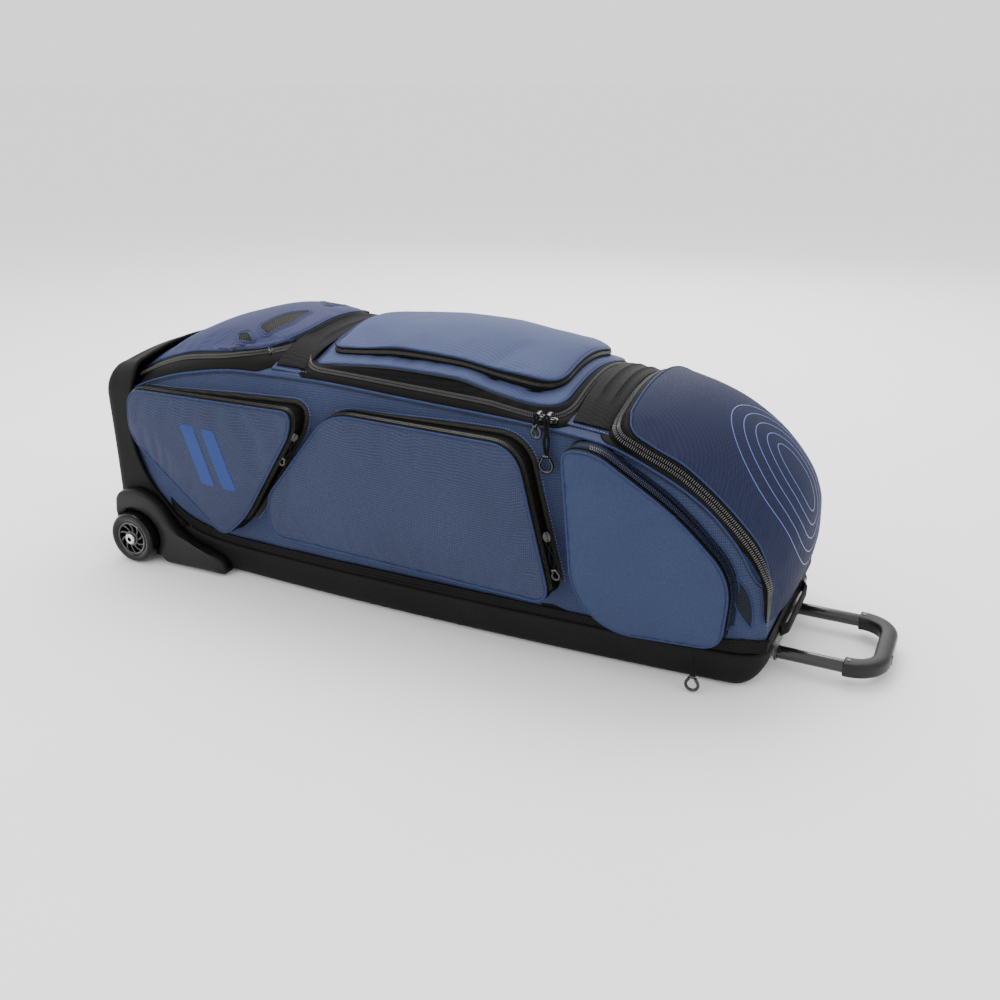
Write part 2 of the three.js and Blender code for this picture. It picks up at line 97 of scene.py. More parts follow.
# ---------- materials ----------
def shader(name, color, roughness, metallic=0.0, **sockets):
    mat = bpy.data.materials.new(name)
    mat.use_nodes = True
    bsdf = mat.node_tree.nodes["Principled BSDF"]
    bsdf.inputs["Base Color"].default_value = (*color, 1)
    bsdf.inputs["Roughness"].default_value = roughness
    bsdf.inputs["Metallic"].default_value = metallic
    for socket, value in sockets.items():
        bsdf.inputs[socket.replace("_", " ")].default_value = value
    return mat


def add(mat, kind, links=(), **values):
    node = mat.node_tree.nodes.new("ShaderNode" + kind)
    for key, value in values.items():
        if hasattr(node, key):
            setattr(node, key, value)
        else:
            node.inputs[key.replace("_", " ")].default_value = value
    for socket, source in links:
        mat.node_tree.links.new(source, node.inputs[socket])
    return node


def object_place(mat, turn=(0, 0, 0)):
    place = add(mat, "TexCoord").outputs["Object"]
    spin = [math.radians(a) for a in turn]
    return add(mat, "Mapping", [("Vector", place)], Rotation=spin).outputs["Vector"]


def mixed(mat, first, second, share):
    """A blend of two heights, with the given share of the second."""
    blend = add(mat, "Mix", [("A", first), ("B", second)])
    blend.inputs["Factor"].default_value = share
    return blend.outputs["Result"]


def mottle(mat, color, spread, scale, detail=2.0, woven=None):
    """Varies the base colour by a fine grain, a broad cloud and, on cloth, its own threads."""
    place = object_place(mat)
    fine = add(mat, "TexNoise", [("Vector", place)], Scale=scale, Detail=detail).outputs["Fac"]
    broad = add(mat, "TexNoise", [("Vector", place)], Scale=9.0, Detail=2.0).outputs["Fac"]
    height = mixed(mat, fine, broad, 0.35)
    if woven:
        height = mixed(mat, height, woven, 0.4)
    ramp = add(mat, "ValToRGB", [("Fac", height)])
    low, high = ramp.color_ramp.elements
    low.position, high.position = 0.3, 0.7
    low.color = (*[c * (1 - spread) for c in color], 1)
    high.color = (*[min(1, c * (1 + spread)) for c in color], 1)
    bsdf = mat.node_tree.nodes["Principled BSDF"]
    mat.node_tree.links.new(ramp.outputs["Color"], bsdf.inputs["Base Color"])


def bump(mat, height, strength, distance):
    bsdf = mat.node_tree.nodes["Principled BSDF"]
    out = add(mat, "Bump", [("Height", height)], Strength=strength, Distance=distance)
    if bsdf.inputs["Normal"].links:
        mat.node_tree.links.new(bsdf.inputs["Normal"].links[0].from_socket, out.inputs["Normal"])
    mat.node_tree.links.new(out.outputs["Normal"], bsdf.inputs["Normal"])


def waves(mat, turn, pitch):
    """Sine ridges, one each pitch millimetres, across the turned x axis."""
    scale = 1 / (pitch * SCALE) / 20 * 2 * math.pi
    return add(mat, "TexWave", [("Vector", object_place(mat, turn))], Scale=scale).outputs["Fac"]


def fabric(name, color, roughness, pitch=2.3, spread=0.3, depth=0.5,
           turns=((0, 0, 0), (45, 0, 90)), **sockets):
    """Woven cloth: two crossing sets of threads with a speckle."""
    mat = shader(name, color, roughness, **{"Specular_IOR_Level": 0.08, **sockets})
    a, b = (waves(mat, turn, pitch) for turn in turns)
    woven = add(mat, "Math", [(0, a), (1, b)], operation="MULTIPLY").outputs["Value"]
    mottle(mat, color, spread, 450.0, woven=woven)
    bump(mat, woven, depth, 0.0004)
    return mat


def grained(name, color, roughness, scale, depth, spread=0.25, **sockets):
    """Moulded or foamed plastic with a fine pebble grain."""
    mat = shader(name, color, roughness, **sockets)
    mottle(mat, color, spread, scale)
    cell = add(mat, "TexNoise", [("Vector", object_place(mat))], Scale=scale, Detail=3.0).outputs["Fac"]
    bump(mat, cell, depth, 0.0005)
    return mat


NAVY = (0.036, 0.048, 0.100)
CLOTH = fabric("navy_cloth", NAVY, 0.6)
FACE = fabric("pocket_cloth", (0.036, 0.044, 0.086), 0.6)
TWILL = fabric("twill_cloth", (0.033, 0.046, 0.096), 0.6, pitch=1.7, spread=0.28,
               turns=((0, 60, 0), (0, 60, 0)))
# The navy cloth made about 1.5 times lighter: painted light for the lit upper faces of the main lid and top
# flap.
LIT_TOP_CLOTH = fabric("top_cloth_painted_lit", (0.058, 0.074, 0.150), 0.6, spread=0.2)
VENT_CLOTH = fabric("vent_cloth", (0.042, 0.048, 0.105), 0.6, spread=0.2)
NOSE_CLOTH = fabric("nose_cloth", (0.017, 0.021, 0.050), 0.65, spread=0.2)
PIPING = fabric("piping_cloth", (0.028, 0.043, 0.108), 0.5, pitch=1.2, depth=0.3)
ART = grained("print_blue", (0.010, 0.032, 0.150), 0.5, 700.0, 0.1, spread=0.1, Specular_IOR_Level=0.2)
ART_LINE = grained("print_line", (0.070, 0.105, 0.280), 0.4, 500.0, 0.1, spread=0.15)
BLACK_CLOTH = fabric("black_cloth", (0.006, 0.006, 0.006), 0.7, spread=0.5)
WEBBING = fabric("webbing", (0.008, 0.008, 0.008), 0.65, pitch=2.4, spread=0.5, depth=0.8)
TAPE = fabric("zip_tape", (0.0065, 0.0065, 0.006), 0.65, pitch=2.0, spread=0.5, depth=0.7,
              turns=((0, 0, 0), (0, 0, 0)))
OLIVE_TAPE = fabric("olive_tape", (0.034, 0.033, 0.027), 0.6, pitch=2.0, spread=0.4, depth=0.7)
MESH_CLOTH = fabric("mesh_cloth", (0.030, 0.030, 0.026), 0.6, pitch=2.8, spread=0.8, depth=1.0,
                    turns=((0, 0, 45), (0, 0, -45)))
# Grey teeth: the coil's colour is raised to stand in for the glints along its teeth, a painted highlight.
GLINT_COIL = grained("zip_coil_painted_glint", (0.075, 0.075, 0.075), 0.3, 900.0, 0.1)
NAVY_COIL = grained("navy_coil", (0.014, 0.018, 0.040), 0.3, 900.0, 0.1)
DARK_CLOTH = fabric("dark_cloth", (0.010, 0.013, 0.028), 0.6, spread=0.4)
OLIVE_COIL = grained("olive_coil", (0.034, 0.033, 0.028), 0.35, 900.0, 0.1)
THREAD = grained("thread", (0.130, 0.160, 0.290), 0.7, 900.0, 0.1)
THREAD_BLACK = grained("thread_black", (0.004, 0.004, 0.005), 0.7, 900.0, 0.1)
# Near-black line for the crease under the shoulder piping: painted shade.
GROOVE_SHADE = grained("groove_shade_line", (0.006, 0.008, 0.018), 0.7, 900.0, 0.1)
EVA = grained("eva", (0.0062, 0.0062, 0.0062), 0.65, 700.0, 0.4, spread=0.6, Specular_IOR_Level=0.12)
MOULDED = grained("moulded", (0.0085, 0.0085, 0.0088), 0.45, 700.0, 0.15, Specular_IOR_Level=0.2)
BEZEL = grained("bezel", (0.026, 0.027, 0.030), 0.35, 600.0, 0.1)
GRIP = grained("grip_rubber", (0.0095, 0.0095, 0.0098), 0.4, 900.0, 0.2, Specular_IOR_Level=0.25)
RUBBER = grained("tyre_rubber", (0.003, 0.003, 0.003), 0.2, 300.0, 0.05, Specular_IOR_Level=0.25)
GLOSS = grained("gloss_black", (0.005, 0.005, 0.005), 0.16, 200.0, 0.03, Coat_Weight=0.3)
CORD = fabric("cord_black", (0.006, 0.006, 0.006), 0.5, pitch=1.1, depth=1.0)
STEEL = grained("steel", (0.55, 0.55, 0.56), 0.25, 300.0, 0.05, metallic=1.0)
BOARD = grained("board", (0.05, 0.05, 0.055), 0.6, 200.0, 0.1)
LINING = fabric("lining", (0.014, 0.016, 0.024), 0.7)


# ---------- curves ----------
def pchip(xs, ys):
    """Smooth interpolation that keeps each rise and fall of its knots."""
    xs, ys = np.asarray(xs, float), np.asarray(ys, float)
    h = np.diff(xs)
    slope = np.diff(ys) / h
    m = np.r_[slope[0], np.zeros(len(h) - 1), slope[-1]]
    same = slope[:-1] * slope[1:] > 0
    m[1:-1][same] = (2 * slope[:-1] * slope[1:])[same] / (slope[:-1] + slope[1:])[same]

    def value(x):
        x = np.clip(x, xs[0], xs[-1])
        i = np.clip(np.searchsorted(xs, x) - 1, 0, len(h) - 1)
        t = (x - xs[i]) / h[i]
        a, b = t * t * (3 - 2 * t), t * (1 - t)
        return ys[i] * (1 - a) + ys[i + 1] * a + h[i] * b * (m[i] * (1 - t) - m[i + 1] * t)

    return value


def spaced(points, count, closed=False):
    """The same line with count points at even distances."""
    p = np.asarray(points, float)
    if closed:
        p = np.vstack([p, p[:1]])
    run = np.r_[0, np.cumsum(np.linalg.norm(np.diff(p, axis=0), axis=1))]
    at = np.linspace(0, run[-1], count + 1)[:-1] if closed else np.linspace(0, run[-1], count)
    return np.stack([np.interp(at, run, p[:, k]) for k in range(p.shape[1])], axis=1)


def length_of(points, closed=False):
    p = np.vstack([points, points[:1]]) if closed else np.asarray(points)
    return np.linalg.norm(np.diff(p, axis=0), axis=1).sum()


def through(knots, count):
    """A smooth line through knots, with count evenly spaced points."""
    k = np.asarray(knots, float)
    run = np.r_[0, np.cumsum(np.linalg.norm(np.diff(k, axis=0), axis=1))]
    at = np.linspace(0, run[-1], count * 3)
    line = np.stack([pchip(run, k[:, c])(at) for c in range(k.shape[1])], axis=1)
    return spaced(line, count)


def rounded(corners, step=4.0):
    """Closed outline through corners [u, v, radius], each one rounded, evenly spaced."""
    out = []
    for i, (u, v, radius) in enumerate(corners):
        corner = np.array([u, v], float)
        beside = [np.array(corners[k % len(corners)][:2], float) for k in (i - 1, i + 1)]
        start, end = (corner + radius * (other - corner) / np.linalg.norm(other - corner) for other in beside)
        for t in np.linspace(0, 1, 14):
            out.append((1 - t) ** 2 * start + 2 * t * (1 - t) * corner + t * t * end)
    out = np.array(out)
    return spaced(out, int(length_of(out, True) / step), closed=True)


def tangents(path, closed):
    if closed:
        t = np.roll(path, -1, 0) - np.roll(path, 1, 0)
    else:
        t = np.gradient(path, axis=0)
    return t / np.maximum(np.linalg.norm(t, axis=1, keepdims=True), 1e-9)


def outward(loop, distance):
    """A closed (u, v) outline moved outward, or inward where distance is negative."""
    t = tangents(loop, True)
    area = np.sum(loop[:, 0] * np.roll(loop[:, 1], -1) - np.roll(loop[:, 0], -1) * loop[:, 1])
    n = np.stack([t[:, 1], -t[:, 0]], axis=1) * np.sign(area)
    return loop + n * distance


def unit(v):
    v = np.asarray(v, float)
    return v / np.maximum(np.linalg.norm(v, axis=-1, keepdims=True), 1e-9)


# ---------- meshes ----------
def made(name, verts, faces, mat, body, slot=None, replaces=(), smooth=True):
    """A mesh object from axle-millimetre points, riding on a CAD body."""
    mesh = bpy.data.meshes.new(name)
    mesh.from_pydata(metres(verts).tolist(), [], faces)
    mesh.validate()
    work = bmesh.new()
    work.from_mesh(mesh)
    bmesh.ops.remove_doubles(work, verts=work.verts, dist=2e-5)
    bmesh.ops.recalc_face_normals(work, faces=work.faces)
    work.to_mesh(mesh)
    work.free()
    mesh.shade_smooth() if smooth else mesh.shade_flat()
    obj = bpy.data.objects.new(name, mesh)
    bpy.context.collection.objects.link(obj)
    mesh.materials.append(mat)
    if smooth is True:
        mesh.set_sharp_from_angle(angle=math.radians(50))
    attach(obj, body)
    if replaces:
        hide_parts(*replaces)
    return obj


def grid(rows, close_rows=False, close_columns=False):
    """Points and faces of a grid of points shaped (rows, columns, 3)."""
    rows = np.asarray(rows, float)
    m, n = rows.shape[:2]
    faces = []
    for i in range(m if close_rows else m - 1):
        for j in range(n if close_columns else n - 1):
            a, b = i * n + j, i * n + (j + 1) % n
            c, d = ((i + 1) % m) * n + (j + 1) % n, ((i + 1) % m) * n + j
            faces.append((a, b, c, d))
    return rows.reshape(-1, 3), faces


def joined(parts):
    """Several (points, faces) as one."""
    verts, faces, base = [], [], 0
    for v, f in parts:
        verts.append(v)
        faces += [tuple(i + base for i in face) for face in f]
        base += len(v)
    return np.vstack(verts), faces


def sweep(path, normals, profile, closed=False):
    """profile [(across, up), ...] carried along path; up follows the surface normals."""
    path = np.asarray(path, float)
    t = tangents(path, closed)
    n = np.broadcast_to(np.asarray(normals, float), path.shape)
    n = unit(n - t * np.sum(n * t, axis=1, keepdims=True))
    side = np.cross(t, n)
    rows = np.stack([path + side * a + n * b for a, b in profile], axis=1)
    verts, faces = grid(rows, closed, True)
    if not closed:
        k = len(profile)
        faces += [tuple(range(k)), tuple(range(len(verts) - k, len(verts)))]
    return verts, faces


def ring(radius, sides=8, squash=1.0, lift=0.0):
    turn = np.linspace(0, 2 * np.pi, sides, endpoint=False)
    return [(radius * math.cos(a), lift + radius * squash * math.sin(a)) for a in turn]


def strip(half, height, base=0.0):
    """Section of a flat band with softened edges."""
    soft = min(half, height) * 0.4
    return [(-half, base), (-half, base + height - soft), (-half + soft, base + height),
            (half - soft, base + height), (half, base + height - soft), (half, base)]


def lumps(path, normals, pitch, size, across=0.0, phase=0.0, closed=False):
    """Small tapered blocks along a path, such as zip teeth or stitches: size is along, across, up."""
    count = max(2, int(length_of(path, closed) / pitch))
    line = spaced(np.hstack([path, np.broadcast_to(normals, np.shape(path))]), count, closed)
    p, n = line[:, :3], line[:, 3:]
    t = tangents(p, closed)
    n = unit(n - t * np.sum(n * t, axis=1, keepdims=True))
    s = np.cross(t, n)
    along, wide, up = size
    corners = [(-1, -1, 0), (1, -1, 0), (1, 1, 0), (-1, 1, 0),
               (-0.6, -0.8, 1), (0.6, -0.8, 1), (0.6, 0.8, 1), (-0.6, 0.8, 1)]
    c = p + t * (phase * pitch) + s * across
    verts = np.stack([c + t * (a * along / 2) + s * (b * wide / 2) + n * (u * up)
                      for a, b, u in corners], axis=1)
    block = [(0, 3, 2, 1), (4, 5, 6, 7), (0, 1, 5, 4), (1, 2, 6, 5), (2, 3, 7, 6), (3, 0, 4, 7)]
    faces = [tuple(i * 8 + k for k in face) for i in range(len(p)) for face in block]
    return verts.reshape(-1, 3), faces


def thicken(obj, mm):
    mod = obj.modifiers.new("thickness", "SOLIDIFY")
    mod.thickness, mod.offset = mm * SCALE, -1.0
    return obj


def soften(obj, mm, segments=2, angle=35):
    mod = obj.modifiers.new("soft_edges", "BEVEL")
    mod.width, mod.segments, mod.limit_method = mm * SCALE, segments, "ANGLE"
    mod.angle_limit = math.radians(angle)
    mod.harden_normals = False
    return obj


# ---------- the soft body's envelope ----------
# x, half width, shoulder height, crest height
STATIONS = [
    (-38, 133, 235, 262), (0, 136, 252, 280), (50, 140, 272, 304), (110, 143, 289, 327),
    (200, 146, 303, 346), (300, 147, 305, 334), (460, 147, 298, 330), (610, 146, 290, 322),
    (700, 145, 280, 312), (775, 143, 252, 304), (825, 141, 222, 286), (865, 138, 180, 260),
    (890, 133, 140, 234), (905, 124, 132, 206), (914, 104, 152, 180),
]
half_at, shoulder_at, crest_at = (pchip(*np.array(STATIONS).T[[0, k]]) for k in (1, 2, 3))
BODY_LOW = 58.0
SHELL_X = edge("end_shell", 0, 0)
TRAY_END = edge("base_tray", 1, 0)
TRAY_H = 47.0        # upper edge of the bare moulding; the woven band above it covers its rim
BULGE = 3.0          # how far the side panels swell between their seams
LID_RISE = 15.0      # a lid's upper face above the body
VENT_DROOP = 10.0    # how much lower the vent lid lies at its edges


def skin(x, y):
    """Height of the soft body's upper surface; it peaks more sharply under the front strap."""
    c = np.clip(y / half_at(x), -1, 1)
    power = 0.8 + 0.7 * np.clip((x - 560) / 80, 0, 1) * np.clip((800 - x) / 80, 0, 1)
    return shoulder_at(x) + (crest_at(x) - shoulder_at(x)) * (1 - c * c) ** power


def skin_normal(x, y):
    d = 2.0
    dx = (skin(x + d, y) - skin(x - d, y)) / (2 * d)
    dy = (skin(x, y + d) - skin(x, y - d)) / (2 * d)
    return unit(np.stack([-dx, -dy, np.ones_like(dx)], axis=-1))


def wall(x, z, side):
    """Outer |y| of the side panel, swelling a little between rim and shoulder."""
    share = np.clip((z - BODY_LOW) / (shoulder_at(x) - BODY_LOW), 0, 1)
    return side * (half_at(x) + BULGE * np.sin(np.pi * share))


def crumple(points, size, amount, seed):
    """Soft seeded wrinkles, as distances in millimetres."""
    return np.array([noise.noise(Vector(p / size) + Vector((seed, 0, 0))) for p in points]) * amount


def body_shell():
    xs = np.r_[np.linspace(-36, 700, 186), np.linspace(704, 903, 60)]
    side_steps, crown_steps = 34, 60
    rows = []
    for x in xs:
        low = BODY_LOW
        top = shoulder_at(x)
        zs = np.linspace(low, top, side_steps, endpoint=False)
        turn = np.linspace(0, np.pi, crown_steps)
        y = half_at(x) * np.cos(turn)
        crown = np.stack([np.full_like(y, x), y, skin(x, y)], axis=1)
        far = np.stack([np.full_like(zs, x), wall(x, zs, 1), zs], axis=1)
        near = np.stack([np.full_like(zs, x), wall(x, zs, -1), zs], axis=1)[::-1]
        rows.append(np.vstack([far, crown, near]))
    rows = np.array(rows)
    flat = rows.reshape(-1, 3)
    fold = crumple(flat, 46.0, 1.5, 3.0) + crumple(flat * [1, 1, 0.5], 15.0, 0.5, 9.0)
    outer = np.zeros_like(flat)
    outer[:, 1] = np.sign(flat[:, 1]) * (flat[:, 2] < shoulder_at(flat[:, 0]) - 2)
    outer[:, 2] = np.abs(outer[:, 1]) < 0.5
    seam = np.clip(np.abs(flat[:, 2] - shoulder_at(flat[:, 0])) / 14, 0, 1)
    rows = (flat + outer * (fold * seam)[:, None]).reshape(rows.shape)
    verts, faces = grid(rows)
    n = rows.shape[1]
    faces.append(tuple(range(n)))
    last = (len(rows) - 1) * n
    faces.append(tuple(range(last, last + n)))
    keep = []
    holes = [(lid["outline"][0][0], lid["outline"][-1][0], lid["hole"]) for lid in (VENT, MAIN)]
    holes.append((722, 893, 104))
    for face in faces:
        x, y, _ = verts[list(face)].mean(0)
        top = verts[list(face)][:, 2].min() >= shoulder_at(x) - 1
        inside = any(x0 + 12 < x < x1 - 12 and abs(y) < half for x0, x1, half in holes)
        if not (top and inside and len(face) == 4):
            keep.append(face)
    obj = made("body_fabric", verts, keep, CLOTH, "bag", "navy_fabric", ["body_shell"])
    obj.data.materials.append(LINING)
    mod = thicken(obj, 5.0).modifiers["thickness"]
    mod.material_offset = 1
    mod.material_offset_rim = 0


# outline: x, |y| and rounding of the near corners; rim and crest: heights along x at its edge and middle
MAIN = {
    "outline": [(300, 123, 26), (642, 123, 34)], "half": 123, "hole": 111,
    "rim": ([300, 334, 433, 505, 563, 599, 642], [319, 325, 331, 329, 317, 311, 307]),
    "crest": ([300, 460, 590, 642], [347, 345, 336, 326]),
}
TOP = {
    "outline": [(316, 101, 24), (630, 101, 40)], "half": 101,
    "rim": ([316, 361, 422, 494, 553, 595, 630], [340, 343, 350, 347, 339, 335, 326]),
    "crest": ([316, 334, 408, 503, 563, 600, 630], [357, 360, 364, 367, 361, 354, 342]),
}
VENT = {"outline": [(20, 96, 6), (205, 126, 60), (258, 84, 44)], "half": 120, "hole": 84}


def plan_of(lid, step=4.0):
    near = [(x, -y, radius) for x, y, radius in lid["outline"]]
    far = [(x, y, radius) for x, y, radius in lid["outline"]]
    return rounded(near + far[::-1], step)


def lid_height(lid, x, y):
    """A lid's upper face, from its own rim and crest or following the body."""
    c = np.clip(y / lid["half"], -1, 1)
    if "rim" not in lid:
        return skin(x, y) + LID_RISE - VENT_DROOP * np.abs(c) ** 3
    rim, crest = (pchip(*lid[line])(x) for line in ("rim", "crest"))
    return rim + (crest - rim) * (1 - c * c) ** 1.5


def on_skin(loop, rise=0.0):
    return np.column_stack([loop, skin(loop[:, 0], loop[:, 1]) + rise])


def patch(loop, corners, nu, nv):
    """Fills a closed (u, v) outline with an even grid; it turns at the four corners given."""
    def places():
        found = [int(np.argmin(np.linalg.norm(loop - c, axis=1))) for c in np.array(corners, float)]
        return found[0], [(m - found[0]) % len(loop) for m in found] + [len(loop)]

    first, marks = places()
    if marks[1] > marks[3]:
        loop = loop[::-1]
        first, marks = places()
    loop = np.roll(loop, -first, axis=0)
    closed = np.vstack([loop, loop[:1]])
    south, east, north, west = (
        spaced(closed[marks[k]:marks[k + 1] + 1], n) for k, n in enumerate((nu, nv, nu, nv))
    )
    north, west = north[::-1], west[::-1]
    u = np.linspace(0, 1, nu)[:, None, None]
    v = np.linspace(0, 1, nv)[None, :, None]
    sides = (1 - v) * south[:, None] + v * north[:, None] + (1 - u) * west[None] + u * east[None]
    ends = ((1 - u) * (1 - v) * south[0] + u * (1 - v) * south[-1]
            + (1 - u) * v * north[0] + u * v * north[-1])
    return sides - ends


def puffed(obj, pinned, pressure=2.0, slack=0.03, frames=16, cap=6.0):
    """Inflates a sheet held at its pinned points by a short cloth simulation."""
    rest = np.array([v.co for v in obj.data.vertices])
    group = obj.vertex_groups.new(name="held")
    group.add([int(i) for i in pinned], 1.0, "REPLACE")
    mod = obj.modifiers.new("cloth", "CLOTH")
    cloth = mod.settings
    cloth.quality = 6
    cloth.mass = 0.3
    cloth.tension_stiffness = cloth.compression_stiffness = 18
    cloth.bending_stiffness = 2.0
    cloth.vertex_group_mass = "held"
    cloth.shrink_min = -slack
    cloth.use_pressure = True
    cloth.uniform_pressure_force = pressure
    cloth.effector_weights.gravity = 0
    mod.collision_settings.use_collision = False
    mod.point_cache.frame_end = frames
    scene = bpy.context.scene
    for f in range(1, frames + 1):
        scene.frame_set(f)
    dg = bpy.context.evaluated_depsgraph_get()
    moved = np.array([v.co for v in obj.evaluated_get(dg).data.vertices])
    obj.modifiers.remove(mod)
    obj.vertex_groups.remove(group)
    shift = moved - rest
    far = np.linalg.norm(shift, axis=1, keepdims=True)
    limit = cap * SCALE
    shift = shift * np.minimum(1, limit / np.maximum(far, 1e-9))
    obj.data.vertices.foreach_set("co", (rest + shift).astype(np.float32).ravel())
    obj.data.update()
    scene.frame_set(1)


def rim_points(obj):
    """Indices of a sheet's border points."""
    work = bmesh.new()
    work.from_mesh(obj.data)
    found = [v.index for v in work.verts if v.is_boundary]
    work.free()
    return found


def laid_on(obj, points, normals, gap=0.3):
    """Points moved along their normals, or to the nearest place, a small gap above an object's surface."""
    tree = BVHTree.FromPolygons([v.co for v in obj.data.vertices], [p.vertices for p in obj.data.polygons])
    reach = 0.03
    out = []
    for p, n in zip(points, np.broadcast_to(normals, np.shape(points))):
        start = Vector(metres(p)) + Vector(n) * reach
        hit = tree.ray_cast(start, -Vector(n), 2 * reach)[3]
        if hit is None:
            place = (np.array(tree.find_nearest(Vector(metres(p)))[0]) - [AXLE_X, 0, 0]) / SCALE
            out.append(place + n * gap)
        else:
            out.append(p + n * ((reach - hit) / SCALE + gap))
    return np.array(out)


def zip_rows(name, path, normals, body, other, width, gap, pitch=2.3, mat=GLINT_COIL):
    """Two open rows of coil teeth: the outer one on the first body, the inner one on the other."""
    for label, sign, rides in (("outer", 1, body), ("inner", -1, other)):
        teeth = lumps(path, normals, pitch, (1.25, width, 1.5), sign * gap, 0.25 * sign)
        made(f"{name}_coil_{label}", *teeth, mat, rides, "black_gloss", smooth=False)


def loop_normals(points3):
    return skin_normal(points3[:, 0], points3[:, 1])


def lid_panel(name, lid, mat, body, slot, replaced, cells):
    """The padded upper face of a lid, inflated by a cloth simulation."""
    loop = plan_of(lid)
    (x0, y0, _), (x1, y1, _) = lid["outline"][0], lid["outline"][-1]
    uv = patch(loop, [(x0, -y0), (x1, -y1), (x1, y1), (x0, y0)], *cells)
    x, y = uv[..., 0], uv[..., 1]
    z = lid_height(lid, x, y) - 2.2 * (1 - crown_of(*x.shape, power=24))
    panel = made(name, *grid(np.stack([x, y, z], axis=-1)), mat, body, slot, replaced)
    puffed(panel, rim_points(panel), pressure=1.2, slack=0.006, cap=3.0)
    thicken(panel, 3.0)
    return panel


def crown_of(nu, nv, power=4):
    """0 at the edges of a patch and 1 over its middle."""
    u = np.abs(np.linspace(-1, 1, nu)) ** power
    v = np.abs(np.linspace(-1, 1, nv)) ** power
    return (1 - u)[:, None] * (1 - v)[None, :]


def clamp_to_body(points):
    limit = half_at(points[:, 0]) - 1.0
    points[:, 1] = np.clip(points[:, 1], -limit, limit)
    points[:, 2] = np.maximum(points[:, 2], skin(points[:, 0], points[:, 1]) + 0.8)
    return points


def ring_between(rings):
    return grid(np.stack(rings), close_columns=True)


def piping(name, path, normals, body, closed=True, radius=1.7):
    """A corded edge."""
    made(f"{name}_piping", *sweep(path, normals, ring(radius, 8), closed), PIPING, body, "navy_fabric")


def box_lid(name, lid, mat, body, replaced, hinge, gusset=9.0, tape=16.0):
    """A padded lid: piped edge, black gusset, and a zip down to the body on all sides but its hinge's."""
    loop = plan_of(lid)
    x0, x1 = loop[:, 0].min(), loop[:, 0].max()
    panel = lid_panel(f"{name}_panel", lid, mat, body, "navy_panel", replaced,
                      (int((x1 - x0) / 5), int(lid["half"] / 2.5)))

    top = np.column_stack([loop, lid_height(lid, loop[:, 0], loop[:, 1]) - 2.0])
    low = on_skin(outward(loop, gusset), 5.0)
    middle = (top + low) / 2
    middle[:, :2] = outward(loop, gusset * 0.62)
    under = on_skin(outward(loop, gusset - 3), 2.5)
    fixed = loop[:, 1] > lid["half"] - 1 if hinge == "far" else loop[:, 0] < x0 + 1
    first = int(np.argmax(fixed & ~np.roll(fixed, -1))) + 1
    free = np.roll(np.arange(len(loop)), -first)[:int((~fixed).sum())]
    cloth = [row[free] for row in (top, middle, low, under)]
    thicken(made(f"{name}_gusset", *grid(np.stack(cloth)), BLACK_CLOTH, body, "black_webbing"), 1.4)
    if hinge == "far":
        still = np.roll(np.arange(len(loop)), -first + 1)[len(free):]
        cloth = [row[still] - [0, 0, drop] for row, drop in ((top, 1.5), (middle, 0), (low, 0), (under, 0))]
        thicken(made(f"{name}_hinge_strip", *grid(np.stack(cloth)), BLACK_CLOTH, "bag", "black_webbing"), 1.4)
    piping(name, top, loop_normals(top), body)
    seam = np.column_stack([outward(loop, 1.9), top[:, 2] - 1.8])[free]
    made(f"{name}_seam", *sweep(seam, loop_normals(seam), ring(0.9, 6), False), THREAD_BLACK, body)

    teeth = on_skin(outward(loop, gusset + 2.2), 4.2)
    across = unit(np.column_stack([teeth[:, :2] - loop, 0 * loop[:, 0]]))
    facing = unit(loop_normals(teeth) + 0.9 * across)
    zip_rows(name, teeth[free], facing[free], "bag", body, 3.0, 1.8)
    inner = clamp_to_body(on_skin(outward(loop, gusset + 3.2), 3.2))
    outer = outward(loop, gusset + 3.2 + tape)
    outer[:, 0] = np.clip(outer[:, 0], x0 - gusset - 9, x1 + gusset + 9)
    outer = clamp_to_body(on_skin(outer, 1.0))
    flange = on_skin(outward(loop, -14.0), -1.0)
    lip = on_skin(outward(loop, gusset + 0.5), 1.6)
    band = made(f"{name}_tape", *ring_between([flange, lip, inner, outer]), TAPE, "bag", "black_webbing")
    thicken(band, 1.0)
    return panel


def vent_apron(gusset=9.0, front=21.0, back=-9.0):
    """The fixed strip between the end shell and the vent lid's hinge, with the end of its zip."""
    xs = np.linspace(back, front, 9)
    y0 = VENT["outline"][0][1]
    across = np.linspace(-y0, y0, 33)
    x, y = np.meshgrid(xs, across, indexing="ij")
    z = lid_height(VENT, x, y) - 1.0
    sheet = made("vent_apron", *grid(np.stack([x, y, z], axis=-1)), VENT_CLOTH, "bag", "navy_panel")
    thicken(sheet, 2.0)
    for label, side in SIDES:
        y = side * np.full_like(xs, y0)
        top = np.column_stack([xs, y, lid_height(VENT, xs, y) - 2.0])
        rows = [top]
        for reach, lift in ((gusset * 0.62, 8.0), (gusset, 5.0), (gusset + 3.2, 3.2), (gusset + 30, 1.0)):
            at = side * np.minimum(y0 + reach, half_at(xs) - 1)
            rows.append(np.column_stack([xs, at, np.maximum(skin(xs, at) + lift, 0)]))
        flank = made(f"vent_apron_side_{label}", *grid(np.stack(rows)), BLACK_CLOTH, "bag", "black_webbing")
        thicken(flank, 1.2)
        piping(f"vent_apron_{label}", top, [0, 0, 1.0], "bag", closed=False)
        out = gusset + 2.2
        teeth = np.column_stack([xs, side * (y0 + out + 0 * xs), skin(xs, y + side * out) + 4.2])
        zip_rows(f"vent_apron_{label}", teeth, [0, 0.6 * side, 1.0], "bag", "bag", 3.0, 1.8)


